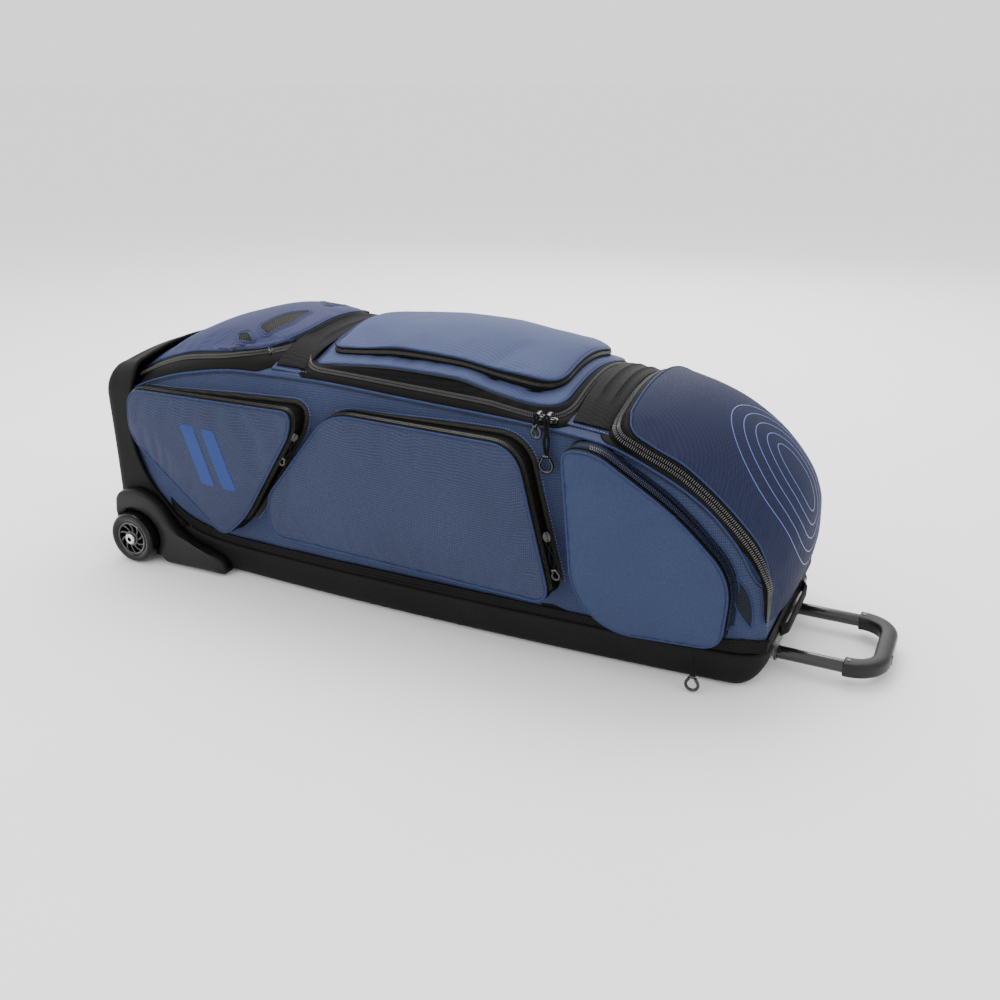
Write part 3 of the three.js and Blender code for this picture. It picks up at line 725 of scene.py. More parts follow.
def vent_details(panel):
    """Embossed frames and mesh windows along the vent lid's front edge."""
    window = [(190, 82, 5), (205, 46, 5), (229, 20, 5), (228, 62, 5), (210, 93, 5)]
    small = [(163, 94, 3), (178, 94, 3), (194, 106, 4), (172, 106, 4)]
    for label, side in SIDES:
        for part, corners in (("window", window), ("vent", small)):
            outline = rounded(corners, 2.0) * [1, side]
            turns = outline[[0, len(outline) // 4, len(outline) // 2, 3 * len(outline) // 4]]
            uv = patch(outline, turns, 24, 18)
            flat = uv.reshape(-1, 2)
            up = skin_normal(flat[:, 0], flat[:, 1])
            laid = laid_on(panel, np.column_stack([flat, lid_height(VENT, *flat.T)]), up, 0.25)
            mesh = made(f"{part}_mesh_{label}", *grid(laid.reshape(*uv.shape[:2], 3)), MESH_CLOTH, "vent_lid",
                        "black_mesh", [f"vent_mesh_{label}"] if part == "window" else ())
            thicken(mesh, 0.8)
            for k, (grow, wide, high) in enumerate(((1.4, 1.3, 1.0), (5.5, 1.0, 0.7))):
                line = outward(outline, grow)
                up = skin_normal(line[:, 0], line[:, 1])
                path = laid_on(panel, np.column_stack([line, lid_height(VENT, *line.T)]), up, 0.0)
                ridge = sweep(path, up, ring(wide, 8, high / wide, 0.1), True)
                made(f"{part}_frame_{label}_{k}", *ridge, VENT_CLOTH, "vent_lid", "navy_panel")


def top_pocket():
    loop = plan_of(TOP)
    lid_panel("top_flap_panel", TOP, LIT_TOP_CLOTH, "top_flap", "navy_panel", ["top_pocket_flap"], (66, 42))

    edge_z = lid_height(TOP, loop[:, 0], loop[:, 1])
    base_z = lid_height(MAIN, loop[:, 0], loop[:, 1])
    top = np.column_stack([loop, edge_z - 2.0])
    piping("top_flap", top, loop_normals(top), "top_flap")
    split = edge_z - 0.5 * (edge_z - base_z)
    upper = [np.column_stack([outward(loop, a), zz]) for a, zz in
             ((0.4, edge_z - 2.5), (1.6, edge_z - 5), (1.8, split))]
    lower = [np.column_stack([outward(loop, a), zz]) for a, zz in
             ((1.8, split - 1.4), (1.8, (split + base_z) / 2), (0.2, base_z + 0.2), (3.0, base_z))]
    thicken(made("top_flap_gusset", *ring_between(upper), TAPE, "top_flap", "black_webbing"), 1.4)
    thicken(made("top_pocket_gusset", *ring_between(lower), BLACK_CLOTH, "main_lid", "black_webbing",
                 ["top_pocket_wall"]), 1.4)
    level = np.column_stack([outward(loop, 2.4), split])
    out = unit(np.column_stack([outward(loop, 1.6) - loop, np.zeros(len(loop))]))
    ribs = lumps(level, out, 2.3, (1.4, 4.4, 1.1), 0.0, 0.0, True)
    made("top_flap_coil", *ribs, OLIVE_COIL, "top_flap", "black_gloss", smooth=False)
    for k, drop in enumerate((3.8, -3.8)):
        rib = np.column_stack([outward(loop, 2.2), split + drop])
        made(f"top_pocket_rib_{k}", *sweep(rib, out, ring(0.7, 6), True), TAPE,
             "top_flap" if drop > 0 else "main_lid", "black_webbing")


# ---------- nose lid ----------
NOSE_HALF = 130.0
NOSE_ZIP_HALF = 140.0
NOSE_ROWS = 80
NOSE_CREST = [(722, 325), (771, 318), (820, 301), (867, 272), (897, 241), (916, 210), (924, 180),
              (925, 147), (920, 112), (910, 78)]
NOSE_EDGE = [(724, 297), (744, 287), (769, 275), (791, 266), (818, 248), (845, 226), (867, 205),
             (887, 182), (898, 156), (903, 129), (902, 92)]
NOSE_ZIP = [(903, 98), (901, 136), (890, 161), (869, 186), (844, 210), (817, 232), (784, 253),
            (752, 266), (728, 277)]
NOSE_LINES = [through(line, NOSE_ROWS) for line in (NOSE_CREST, NOSE_EDGE)]


def nose_half(at):
    """Half width of the nose panel, narrowed by its rounded rear corners; at is the run from the rear."""
    short = np.clip(1 - at / 26.0, 0, 1)
    return NOSE_HALF - 26.0 * (1 - np.sqrt(1 - short ** 2))


def nose_point(a, w):
    """A point of the nose panel: a runs 0..1 from rear to front, w -1..1 across."""
    crest, side = NOSE_LINES
    i = np.clip(a, 0, 1) * (NOSE_ROWS - 1)
    low = np.clip(np.floor(i).astype(int), 0, NOSE_ROWS - 2)
    t = (i - low)[..., None]
    mid, rim = (line[low] * (1 - t) + line[low + 1] * t for line in (crest, side))
    y = nose_half(a * length_of(crest)) * w
    share = (1 - np.abs(y / NOSE_HALF) ** 2.1)[..., None]
    xz = rim + (mid - rim) * share
    return np.stack([xz[..., 0], y, xz[..., 1]], axis=-1)


def nose_normal(a, w):
    d = 0.01
    du = nose_point(np.clip(a + d, 0, 1), w) - nose_point(np.clip(a - d, 0, 1), w)
    dv = nose_point(a, w + d) - nose_point(a, w - d)
    return unit(np.cross(du, dv))


def mirrored(half_path):
    """A path that ends on the middle plane, continued to the far side."""
    return np.vstack([half_path, half_path[::-1][1:] * [1, -1, 1]])


def nose_lid():
    a = np.linspace(0, 1, NOSE_ROWS)[:, None] * np.ones((1, 61))
    w = np.ones((NOSE_ROWS, 1)) * np.sin(np.linspace(-1, 1, 61) * np.pi / 2)[None, :]
    panel = made("nose_panel", *grid(nose_point(a, w)), NOSE_CLOTH, "nose_lid", "dark_navy_fabric",
                 ["nose_lid"])
    puffed(panel, rim_points(panel), pressure=1.0, slack=0.004, cap=2.5)
    thicken(panel, 3.0)

    front = np.column_stack([np.linspace(1, 0.02, 70), np.full(70, -1.0)])
    rear = np.column_stack([np.zeros(30), np.linspace(-1, 0, 30)])
    run = np.vstack([front, rear])
    rim = mirrored(spaced(nose_point(run[:, 0], run[:, 1]), 150))
    near = [(x, -NOSE_ZIP_HALF, z) for x, z in NOSE_ZIP]
    corner = [(710, -135, 284), (703, -122, 289)]
    across = [(702, y, float(skin(702, y)) + 2.5) for y in (-100, -70, -35, 0)]
    seam = mirrored(through(near + corner + across, 150))
    t = tangents(rim, False)
    out = unit(np.cross(t, rim - seam))
    out *= np.sign(np.sum(out * (rim - [800, 0, 150]), axis=1, keepdims=True))
    rows = [rim - out * 0.5, rim + (seam - rim) * 0.2 + out * 1.6, rim + (seam - rim) * 0.42 + out * 1.6]
    gusset = made("nose_gusset", *grid(np.stack(rows)), BLACK_CLOTH, "nose_lid", "black_webbing")
    thicken(gusset, 1.4)
    piping("nose", rim, out, "nose_lid", closed=False, radius=1.3)
    middle = rim + (seam - rim) * 0.6 + out * 1.2
    zip_rows("nose", middle, out, "bag", "nose_lid", 4.6, 2.7, pitch=2.6)
    shell = bpy.data.objects["body_fabric"]
    away = unit(seam - rim)
    lower = [rim + (seam - rim) * 0.45 + out * 0.4, rim + (seam - rim) * 0.8 + out * 0.8]
    for reach, lift in ((0, 2.0), (5, 1.4), (9, 0.8)):
        at = seam + away * reach
        at[:, 0] = np.minimum(at[:, 0], 896)
        at[:, 1] = np.clip(at[:, 1], -half_at(at[:, 0]) - 2, half_at(at[:, 0]) + 2)
        lower.append(laid_on(shell, at, out, lift))
    band_of = made("nose_tape", *grid(np.stack(lower)), TAPE, "bag", "black_webbing")
    thicken(band_of, 1.0)
    nose_art(panel)


def nose_art(panel):
    """Plain nested ovals along the nose, as printed trim."""
    for k in range(5):
        turn = np.linspace(0, 2 * np.pi, 120, endpoint=False)
        a = 0.57 + (0.12 + 0.044 * k) * np.cos(turn)
        w = -0.16 + (0.15 + 0.105 * k) * np.sin(turn)
        path, normal = nose_point(a, w), nose_normal(a, w)
        normal *= np.sign(np.sum(normal * (path - [800, 0, 100]), axis=1, keepdims=True))
        path = laid_on(panel, path, normal, 0.0)
        line = sweep(path, normal, [(-0.55, -0.6), (-0.55, 0.3), (0.55, 0.3), (0.55, -0.6)], True)
        made(f"nose_line_{k}", *line, ART_LINE, "nose_lid", smooth=False)


# ---------- side pockets ----------
POCKETS = {
    "rear": {
        "rim": ((20, 155), (300, 180)),
        "outline": [(8, 257, 28), (304, 270, 16), (298, 240, 14), (210, 108, 26), (166, 70, 22),
                    (0, 188, 28)],
        "turns": [(0, 188), (166, 70), (304, 270), (8, 257)],
        "zip": ((6, 257), (205, 104)),
    },
    "middle": {
        "rim": ((260, 165), (655, 180)),
        "outline": [(352, 272, 34), (612, 271, 34), (660, 84, 26), (246, 86, 26), (243, 140, 20)],
        "turns": [(246, 86), (660, 84), (612, 271), (352, 272)],
        "zip": ((352, 272), (658, 100)),
    },
    "front": {
        "rim": ((670, 178), (860, 156)),
        "outline": [(669, 277, 16), (706, 277, 18), (800, 214, 40), (864, 148, 34), (858, 60, 24),
                    (726, 60, 34), (684, 108, 28)],
        "turns": [(726, 60), (858, 60), (800, 214), (669, 277)],
        "zip": ((700, 277), (862, 84)),
    },
}
PUFF = 6.0


def rim_line(pocket):
    (x0, y0), (x1, y1) = pocket["rim"]
    return lambda x: y0 + (y1 - y0) * (x - x0) / (x1 - x0)


def stretch_between(loop, start, end):
    """The part of a closed outline that runs clockwise from near start to near end."""
    i, j = (int(np.argmin(np.linalg.norm(loop - p, axis=1))) for p in (np.array(start), np.array(end)))
    order = np.roll(loop, -i, axis=0)
    return order[: (j - i) % len(loop) + 1]


def side_pocket(name, pocket, label, side):
    """A piped, puffed face on a black gusset, zipped along its top and front."""
    tag, flap_body = f"{name}_pocket_{label}", f"{name}_flap_{label}"
    front = name == "front"
    rim = rim_line(pocket)
    loop = rounded(pocket["outline"], 3.5)

    def lift(uv, proud):
        return np.stack([uv[..., 0], side * (rim(uv[..., 0]) + proud), uv[..., 1]], axis=-1)

    def on_wall(p, proud):
        y = wall(p[:, 0], np.clip(p[:, 1], 71, 400), side) + side * proud
        return np.column_stack([p[:, 0], y, p[:, 1]])

    out = np.array([0.0, side, 0.0])
    lo, hi = loop.min(0), loop.max(0)
    shape = (int((hi[0] - lo[0]) / 5), int((hi[1] - lo[1]) / 5))
    uv = patch(loop, pocket["turns"], *shape)
    proud = 1.0 + (PUFF - 3.5) * crown_of(*shape, power=3)
    face = made(f"{tag}_face", *grid(lift(uv, proud)), TWILL if front else FACE, flap_body, "navy_fabric",
                [f"{name}_pocket_flap_{label}"])
    puffed(face, rim_points(face), pressure=2.5, slack=0.012, cap=5.0)
    thicken(face, 2.0)
    piping(tag, lift(loop, 1.0), out, flap_body, radius=1.5)

    body_y = wall(loop[:, 0], np.clip(loop[:, 1], 70, 400), side)
    depth = np.abs(lift(loop, 0.0)[:, 1]) - np.abs(body_y)
    cut = np.minimum(4.0, depth * 0.4)
    upper = [np.column_stack([p[:, 0], side * (rim(p[:, 0]) - d), p[:, 1]])
             for p, d in ((outward(loop, 0.8), 0.0), (outward(loop, 1.8), cut))]
    thicken(made(f"{tag}_flap_tape", *ring_between(upper), TAPE, flap_body, "black_webbing"), 1.0)
    lower = [np.column_stack([p[:, 0], side * (rim(loop[:, 0]) - d), p[:, 1]])
             for p, d in zip((outward(loop, reach) for reach in (2.6, 2.2, 4.0)),
                             (cut + 2.6, depth * 0.7, depth + 0.5))]
    thicken(made(f"{tag}_gusset", *ring_between(lower), DARK_CLOTH if front else BLACK_CLOTH, "bag",
                 "black_webbing", [f"{name}_pocket_wall_{label}"]), 1.2)

    run = stretch_between(loop, *pocket["zip"])
    keep = [int(np.argmin(np.linalg.norm(loop - p, axis=1))) for p in run]
    path2 = outward(loop, 3.6 if front else 2.6)[keep]
    back = cut[keep] + (3.6 if front else 1.3)
    at = np.column_stack([path2[:, 0], side * (rim(path2[:, 0]) - back), path2[:, 1]])
    spin = np.column_stack([path2[:, 0] - run[:, 0], np.full(len(run), side * 1.0), path2[:, 1] - run[:, 1]])
    wide, gap, mat = (3.4, 1.9, NAVY_COIL) if front else (2.2, 1.3, OLIVE_COIL)
    zip_rows(tag, at, unit(spin), "bag", flap_body, wide, gap, mat=mat)
    taper = np.clip(np.linspace(0, 2.6, len(keep)), 0.12, 1)[:, None]
    inner, outer = outward(loop, 3.0)[keep], outward(loop, 8.0)[keep]
    apron = [on_wall(inner, 3.0), on_wall(inner + (outer - inner) * taper, 0.8)]
    thicken(made(f"{tag}_apron", *grid(np.stack(apron)), DARK_CLOTH if front else OLIVE_TAPE, "bag",
                 "black_webbing"), 0.8)
    edge_at = inner + (outward(loop, 9.0)[keep] - inner) * np.maximum(taper, 0.4)
    made(f"{tag}_hem", *sweep(on_wall(edge_at, 0.2), out, ring(0.9, 6)), PIPING, "bag", "navy_fabric")
    if not front:
        dash = on_wall(edge_at + (edge_at - run) * 0.12, 0.3)
        made(f"{tag}_stitches", *lumps(dash, out, 4.0, (2.5, 0.8, 0.6)), THREAD, "bag", smooth=False)


def seam_slit():
    """A lens-shaped opening in the seam between the front pocket and the nose zip."""
    t = np.linspace(0, 1, 30)
    shell = bpy.data.objects["body_fabric"]
    for label, side in SIDES:
        line = through([(855, 150), (868, 134), (879, 108), (887, 84)], 30)
        way = tangents(line, False)
        swell = 9.0 * np.sin(np.pi * t)[:, None] * np.column_stack([way[:, 1], -way[:, 0]])
        rows = []
        for k in (-1.0, -0.5, 0.0, 0.5, 1.0):
            p = line + swell * k
            points = np.column_stack([p[:, 0], np.full(30, side * 140.0), p[:, 1]])
            rows.append(laid_on(shell, points, [0, side, 0.0], 0.9))
        made(f"seam_slit_{label}", *grid(np.stack(rows)), LINING, "bag", "navy_fabric")
        for k, edge_row in enumerate((rows[0], rows[-1])):
            made(f"seam_slit_{label}_lip_{k}", *sweep(edge_row, [0, side, 0], ring(1.0, 6)), PIPING, "bag",
                 "navy_fabric")


# ---------- moulded tray, end shell and band ----------
def tray_half(x):
    return 152 - 15 * ((x - 430) / 430) ** 2


TRAY_START = 52.0
NOSE_CORNER = 42.0
CHIN = 34.0          # radius of the tray's rise under the handle


def tray_path(inset=0.0):
    """Half of the tray's plan outline, from the near rear to the middle of the front."""
    front = TRAY_END - inset
    radius = NOSE_CORNER - inset
    start_x = front - radius
    xs = np.linspace(TRAY_START, start_x, 90)
    near = np.column_stack([xs, -(tray_half(xs) - inset)])
    half = tray_half(start_x) - inset
    turn = np.linspace(-np.pi / 2, 0, 26)[1:]
    arc = np.column_stack([start_x + radius * np.cos(turn), -(half - radius) + radius * np.sin(turn)])
    straight = np.column_stack([np.full(12, front), np.linspace(-(half - radius), 0, 13)[1:]])
    return np.vstack([near, arc, straight])


def swoop(x, height, run):
    """How much an edge rises towards the wheels, where it runs into the end shell."""
    return height * np.exp(-(np.maximum(x, TRAY_START) - TRAY_START) / run)


def nose_lift(x, z):
    """The tray's underside curves up to the handle like a chin."""
    run = np.clip(x - (TRAY_END - CHIN), 0, CHIN - 1)
    rise = CHIN - np.sqrt(CHIN ** 2 - run ** 2)
    return z + rise * np.clip(1 - z / TRAY_H, 0, 1)


def tray():
    section = [(3.4, TRAY_H), (0.6, TRAY_H - 0.6), (-1.4, TRAY_H - 3), (-1.9, TRAY_H - 6),
               (-1.2, TRAY_H - 10), (-0.2, TRAY_H - 15), (0.9, 20), (3.4, 10), (8.0, 4.0), (16, 1.0),
               (28, 0.2)]
    rows = []
    for inset, z in section:
        path = tray_path(inset)
        rise = swoop(path[:, 0], 30, 32) * np.clip((z - 20) / (TRAY_H - 20), 0, 1)
        rows.append(np.column_stack([path, nose_lift(path[:, 0], z) + rise]))
    inner = rows[-1]
    middle = np.column_stack([np.minimum(inner[:, 0], 850), np.zeros(len(inner)), inner[:, 2]])
    for share in (0.4, 0.8, 1.0):
        rows.append(inner + (middle - inner) * share)
    half = np.stack(rows)
    mirror = half[:, ::-1] * [1, -1, 1]
    shape = made("tray_shell", *joined([grid(half), grid(mirror)]), EVA, "bag", "eva_shell", ["base_tray"])
    thicken(shape, 4.0)


def end_shell():
    """Moulded end wall whose sides sweep down into the tray as wings."""
    rim_at = pchip([0, 56, 62, 70, 88, 110, 135, 166, 191, 219, 245, 262, 276, 292],
                   [52, 53, 78, 62, 45, 24, 9, -2, -6, -5, 4, 6, 2, -4])
    half, foot, corner, flat_top, crown = 145.0, 8.0, 40.0, 282.0, 10.0
    turn = np.linspace(np.pi / 2, 0, 18)
    y_top = np.linspace(0, half - corner, 20)
    outline = np.vstack([
        np.column_stack([y_top, flat_top + crown * (1 - (y_top / (half - corner)) ** 2)])[:-1],
        np.column_stack([half - corner + corner * np.cos(turn), flat_top - corner + corner * np.sin(turn)]),
        np.column_stack([np.full(60, half), np.linspace(flat_top - corner, foot, 61)[1:]]),
        np.column_stack([half - foot + foot * np.sin(turn), foot - foot * np.cos(turn)])[1:],
        np.column_stack([np.linspace(half - foot, 0, 12)[1:], np.zeros(11)]),
    ])
    edge_round = 20.0
    centre = np.array([0.0, 145.0])
    rows = [np.column_stack([np.full(len(outline), SHELL_X), centre + (outline - centre) * s * [0.86, 0.88]])
            for s in (0.0, 0.3, 0.6, 0.82, 0.94)]
    way = unit(outline - centre)
    for t in np.linspace(0, np.pi / 2, 9):
        p = outline - way * edge_round * (1 - math.sin(t))
        p[:, 1] = np.maximum(p[:, 1], 0.0)
        rows.append(np.column_stack([np.full(len(p), SHELL_X + edge_round * (1 - math.cos(t))), p]))
    base_x = SHELL_X + edge_round
    reach = rim_at(outline[:, 1])
    for share in np.linspace(0, 1, 16)[1:]:
        x = base_x + (reach - base_x) * share
        rise = 7 * np.clip((x - base_x) / (0 - base_x), 0, 1) * (outline[:, 1] / flat_top) ** 6
        rows.append(np.column_stack([x, outline[:, 0], outline[:, 1] + rise]))
    half_grid = np.stack(rows) * [1, -1, 1]
    other = half_grid[:, ::-1] * [1, -1, 1]
    shell = made("end_shell_wall", *joined([grid(half_grid), grid(other)]), EVA, "bag", "eva_shell",
                 ["end_shell"])
    thicken(shell, 4.0)
    rim_path = rows[-1][:-34] * [1, -1, 1]
    rim_path = np.vstack([rim_path[::-1], rim_path[1:] * [1, -1, 1]])
    made("end_shell_rim", *sweep(rim_path, [1.0, 0, 0], ring(2.6, 10)), BLACK_CLOTH, "bag", "black_webbing")


def band():
    """Ribbed band sewn between the tray and the fabric, and the black cloth under the nose."""
    top = BODY_LOW + 1.5
    section = [(2.2, TRAY_H - 1.0), (0.6, TRAY_H + 1.0), (0.7, TRAY_H + 3.8), (1.8, TRAY_H + 4.6),
               (0.9, TRAY_H + 5.6), (1.2, top - 3.6), (2.2, top - 2.8), (1.6, top - 1.6), (3.4, top),
               (7.0, top + 1.0)]
    rows = []
    for inset, z in section:
        path = tray_path(inset)
        share = (z - TRAY_H) / (top - TRAY_H)
        front = 10 * np.clip(share, 0, 1) * np.clip((path[:, 0] - 790) / 90, 0, 1) ** 2
        if share > 0.15:
            corner = (path[:, 0] > 870) & (path[:, 1] > -131)
            path[corner, 0] = np.maximum(path[corner, 0], 906)
            cover = (half_at(path[:, 0]) + 3.2) * ~corner
            path[:, 1] = -np.maximum(np.abs(path[:, 1]), cover)
        rows.append(np.column_stack([path, z + front + swoop(path[:, 0], 30 + 8 * share, 32 + 6 * share)]))
    half = np.stack(rows)
    shape = made("rim_tape", *joined([grid(half), grid(half[:, ::-1] * [1, -1, 1])]), WEBBING, "bag",
                 "black_webbing", ["rim_band"])
    thicken(shape, 2.0)
    path = tray_path(1.0)[64:]
    low = np.column_stack([path, np.full(len(path), top - 1.0)])
    way = np.stack([low, low + [-5, 0, 14], low + [-9, 0, 34]])
    way[1:, :, 1] *= 0.985
    both = joined([grid(way), grid(way[:, ::-1] * [1, -1, 1])])
    made("nose_base", *both, BLACK_CLOTH, "bag", "black_webbing")


# ---------- straps ----------
def grab_strap(name, x, rise, foot=134.0):
    """A padded strap across the lid gap, sewn down at both ends, with two pressed ribs."""
    y = np.linspace(-foot, foot, 91)
    up = 1.4 + rise * np.clip((1 - (np.abs(y) / foot) ** 4) * 1.25, 0, 1)
    path = np.column_stack([np.full_like(y, x), y, skin(np.full_like(y, x), y) + up])
    normal = skin_normal(path[:, 0], np.clip(path[:, 1], -125, 125))
    rows = []
    n = unit(normal)
    side_way = np.cross(tangents(path, False), n)
    for a, b in ((-22, 0), (-22.5, 1.6), (-20, 2.8), (-15, 2.6), (-12, 3.0), (-8.5, 3.1), (-5, 3.0), (0, 2.6),
                 (5, 3.0), (8.5, 3.1), (12, 3.0), (15, 2.6), (20, 2.8), (22.5, 1.6), (22, 0)):
        dent = 1 if 6 < abs(a) < 11 else -0.3 * (abs(a) < 20)
        press = 1.6 * np.clip(1 - (np.abs(y) / 88) ** 8, 0, 1) * dent
        rows.append(path + side_way * a + n * (b + press)[:, None])
    verts, faces = grid(np.stack(rows, axis=1), close_columns=True)
    faces += [tuple(range(15)), tuple(range(len(verts) - 15, len(verts)))]
    made(name, verts, faces, WEBBING, "bag", "black_webbing", [name])
    for label, side in SIDES:
        at = side * np.linspace(foot - 26, foot + 6, 9)
        base = np.column_stack([np.full(9, x), at, skin(np.full(9, x), at) + 0.5])
        pad = sweep(base, skin_normal(base[:, 0], np.clip(base[:, 1], -130, 130)), strip(27.0, 0.9))
        made(f"{name}_patch_{label}", *pad, CLOTH, "bag", "navy_fabric")
        xs = np.linspace(x - 25, x + 25, 12)
        end = np.full(12, side * (foot + 3.5))
        rows = np.column_stack([xs, end, skin(xs, end) + 1.3])
        stitches = lumps(rows, [0, side * 0.5, 1.0], 3.6, (2.2, 0.8, 0.5))
        made(f"{name}_stitch_{label}", *stitches, THREAD, "bag", smooth=False)


def end_handle():
    low, high = (edge("end_handle", k, 2) for k in (0, 1))
    reach = min(edge("end_handle", 1, 0), TRAY_END + 11)
    y = np.linspace(-66, 66, 45)
    x = TRAY_END + 1.5 + (reach - TRAY_END - 4) * np.clip(1.35 * (1 - (np.abs(y) / 66) ** 6), 0, 1)
    path = np.column_stack([x, y, np.full_like(y, (low + high) / 2)])
    width = (high - low) / 2
    body = sweep(path, [1.0, 0, 0], strip(width, 3.2, -1.6))
    made("end_handle_loop", *body, WEBBING, "bag", "black_webbing", ["end_handle"])


def bezel():
    """Raked plate above the handle tubes, with a smooth grey face, and a collar round each tube."""
    y_half, low, high = 96.0, 30.0, 50.0
    outline = rounded([(-y_half, low, 6), (y_half, low, 6), (y_half, high, 8), (-y_half, high, 8)], 2.5)
    x = TRAY_END
    rows = []
    for inset, proud in ((0.0, -3.0), (0.0, 0.8), (1.2, 1.8), (4.0, 2.2), (5.5, 1.6)):
        p = outward(outline, -inset)
        rows.append(np.column_stack([np.full(len(p), x + proud), p]))
    verts, faces = grid(np.stack(rows), close_columns=True)
    n = len(outline)
    faces.append(tuple(range(len(verts) - n, len(verts))))
    made("bezel_plate", verts, faces, BEZEL, "bag", "moulded_plastic", ["handle_bezel"])
    for label, side in SIDES:
        turn = np.linspace(0, 2 * np.pi, 28, endpoint=False)
        collar = np.column_stack([np.full(28, x - 1.0), side * 61 + 9.6 * np.cos(turn),
                                  20 + 9.6 * np.sin(turn)])
        made(f"bezel_collar_{label}", *sweep(collar, [1.0, 0, 0], ring(1.9, 8), True), GLOSS, "bag",
             "black_gloss")


def wheel_housing(label, side):
    """Moulded arch over the wheel's inner half, running down along the tray as a fin."""
    out_y = abs(edge("wheel_housing_near", 0, 1))
    arc = np.linspace(math.radians(152), math.radians(-28), 40)
    well = [(43 * math.cos(a), AXLE_Z + 43 * math.sin(a)) for a in arc]
    outline = [(-34, 60, 3), (-32, 97, 8), (-11, 105, 12), (12, 105, 14), (40, 92, 14), (61, 60, 12),
               (86, 42, 10), (143, 26, 8), (153, 5, 4), (52, 5, 2)]
    rim = rounded(outline, 2.5)
    start = int(np.argmin(np.linalg.norm(rim - [52, 5], axis=1)))
    rim = np.roll(rim, -start, axis=0)
    end = int(np.argmin(np.linalg.norm(rim - [-34, 60], axis=1)))
    upper = spaced(np.vstack([rim[:1], rim[end:][::-1]]), 90)
    lower = spaced(np.array(well[::-1]), 90)
    rows = []
    for share, y in ((0.0, 146), (0.0, out_y - 7), (0.02, out_y - 4), (0.06, out_y - 1.8),
                     (0.14, out_y - 0.4), (0.3, out_y), (0.8, out_y), (0.93, out_y - 0.4),
                     (1.0, out_y - 1.6), (1.0, 154)):
        p = upper + (lower - upper) * share
        rows.append(np.column_stack([p[:, 0], np.full(90, side * y), p[:, 1]]))
    shape = made(f"wheel_arch_{label}", *grid(np.stack(rows)), MOULDED, "bag", "moulded_plastic",
                 [f"wheel_housing_{label}"])
    thicken(shape, 2.0)
    back = rounded([(-34, 6, 6), (-34, 96, 10), (40, 92, 14), (60, 58, 12), (60, 6, 4)], 4.0)
    verts = np.column_stack([back[:, 0], np.full(len(back), side * 152.5), back[:, 1]])
    whole = [tuple(range(len(back)))]
    thicken(made(f"wheel_plate_{label}", verts, whole, MOULDED, "bag", "moulded_plastic"), 4.0)


# ---------- pull handle ----------
def grip():
    """U-shaped grip: broad sleeves on the tubes that taper into a rounded crossbar."""
    inner, outer = 983.0, edge("handle_grip", 1, 0)
    z = (edge("handle_grip", 0, 2) + edge("handle_grip", 1, 2)) / 2
    high = 0.74 * (edge("handle_grip", 1, 2) - edge("handle_grip", 0, 2)) / 2
    bar_x, leg_y, radius = outer - 11.0, 61.5, 34.0
    legs = np.column_stack([np.linspace(inner, bar_x - radius, 12), np.full(12, -leg_y)])
    turn = np.linspace(-np.pi / 2, 0, 18)[1:]
    arc = np.column_stack([bar_x - radius + radius * np.cos(turn), -leg_y + radius + radius * np.sin(turn)])
    bar = np.column_stack([np.full(14, bar_x), np.linspace(-leg_y + radius, 0, 15)[1:]])
    half = np.vstack([legs, arc, bar])
    path = np.vstack([half, half[::-1][1:] * [1, -1]])
    t = tangents(path, False)
    side = np.column_stack([-t[:, 1], t[:, 0]])
    run = np.r_[0, np.cumsum(np.linalg.norm(np.diff(path, axis=0), axis=1))]
    from_end = np.minimum(run, run[-1] - run)
    wide = 10.5 + 1.5 * np.clip(1 - (from_end - 6) / 34, 0, 1)
    angles = np.linspace(0, 2 * np.pi, 28, endpoint=False)
    rows = []
    for i, (p, s, w) in enumerate(zip(path, side, wide)):
        end = min(i, len(path) - 1 - i)
        k = (0.86, 0.96, 1.0)[min(end, 2)]
        c, sn = np.cos(angles), np.sin(angles)
        a = np.sign(c) * np.abs(c) ** 0.62 * w * k
        b = np.sign(sn) * np.abs(sn) ** 0.62 * high * k
        rows.append(np.column_stack([p[0] + s[0] * a, p[1] + s[1] * a, z + b]))
    verts, faces = grid(np.stack(rows), close_columns=True)
    faces += [tuple(range(28)), tuple(range(len(verts) - 28, len(verts)))]
    made("grip_body", verts, faces, GRIP, "handle", "moulded_plastic", ["handle_grip"])
    for label, sign in SIDES:
        pin = [(988, sign * leg_y, z + high - 1), (988, sign * leg_y, z + high + 0.5)]
        rivet = sweep(pin, [1.0, 0, 0], ring(2.4, 12))
        made(f"grip_rivet_{label}", *rivet, GLOSS, "handle", "black_gloss")


# ---------- wheels ----------
def lathe(profile, side, steps=64):
    """[radius, |y|] profile turned about the axle."""
    turn = np.linspace(0, 2 * np.pi, steps, endpoint=False)
    return np.stack([
        np.column_stack([r * np.cos(turn), np.full(steps, side * y), AXLE_Z + r * np.sin(turn)])
        for r, y in profile
    ])


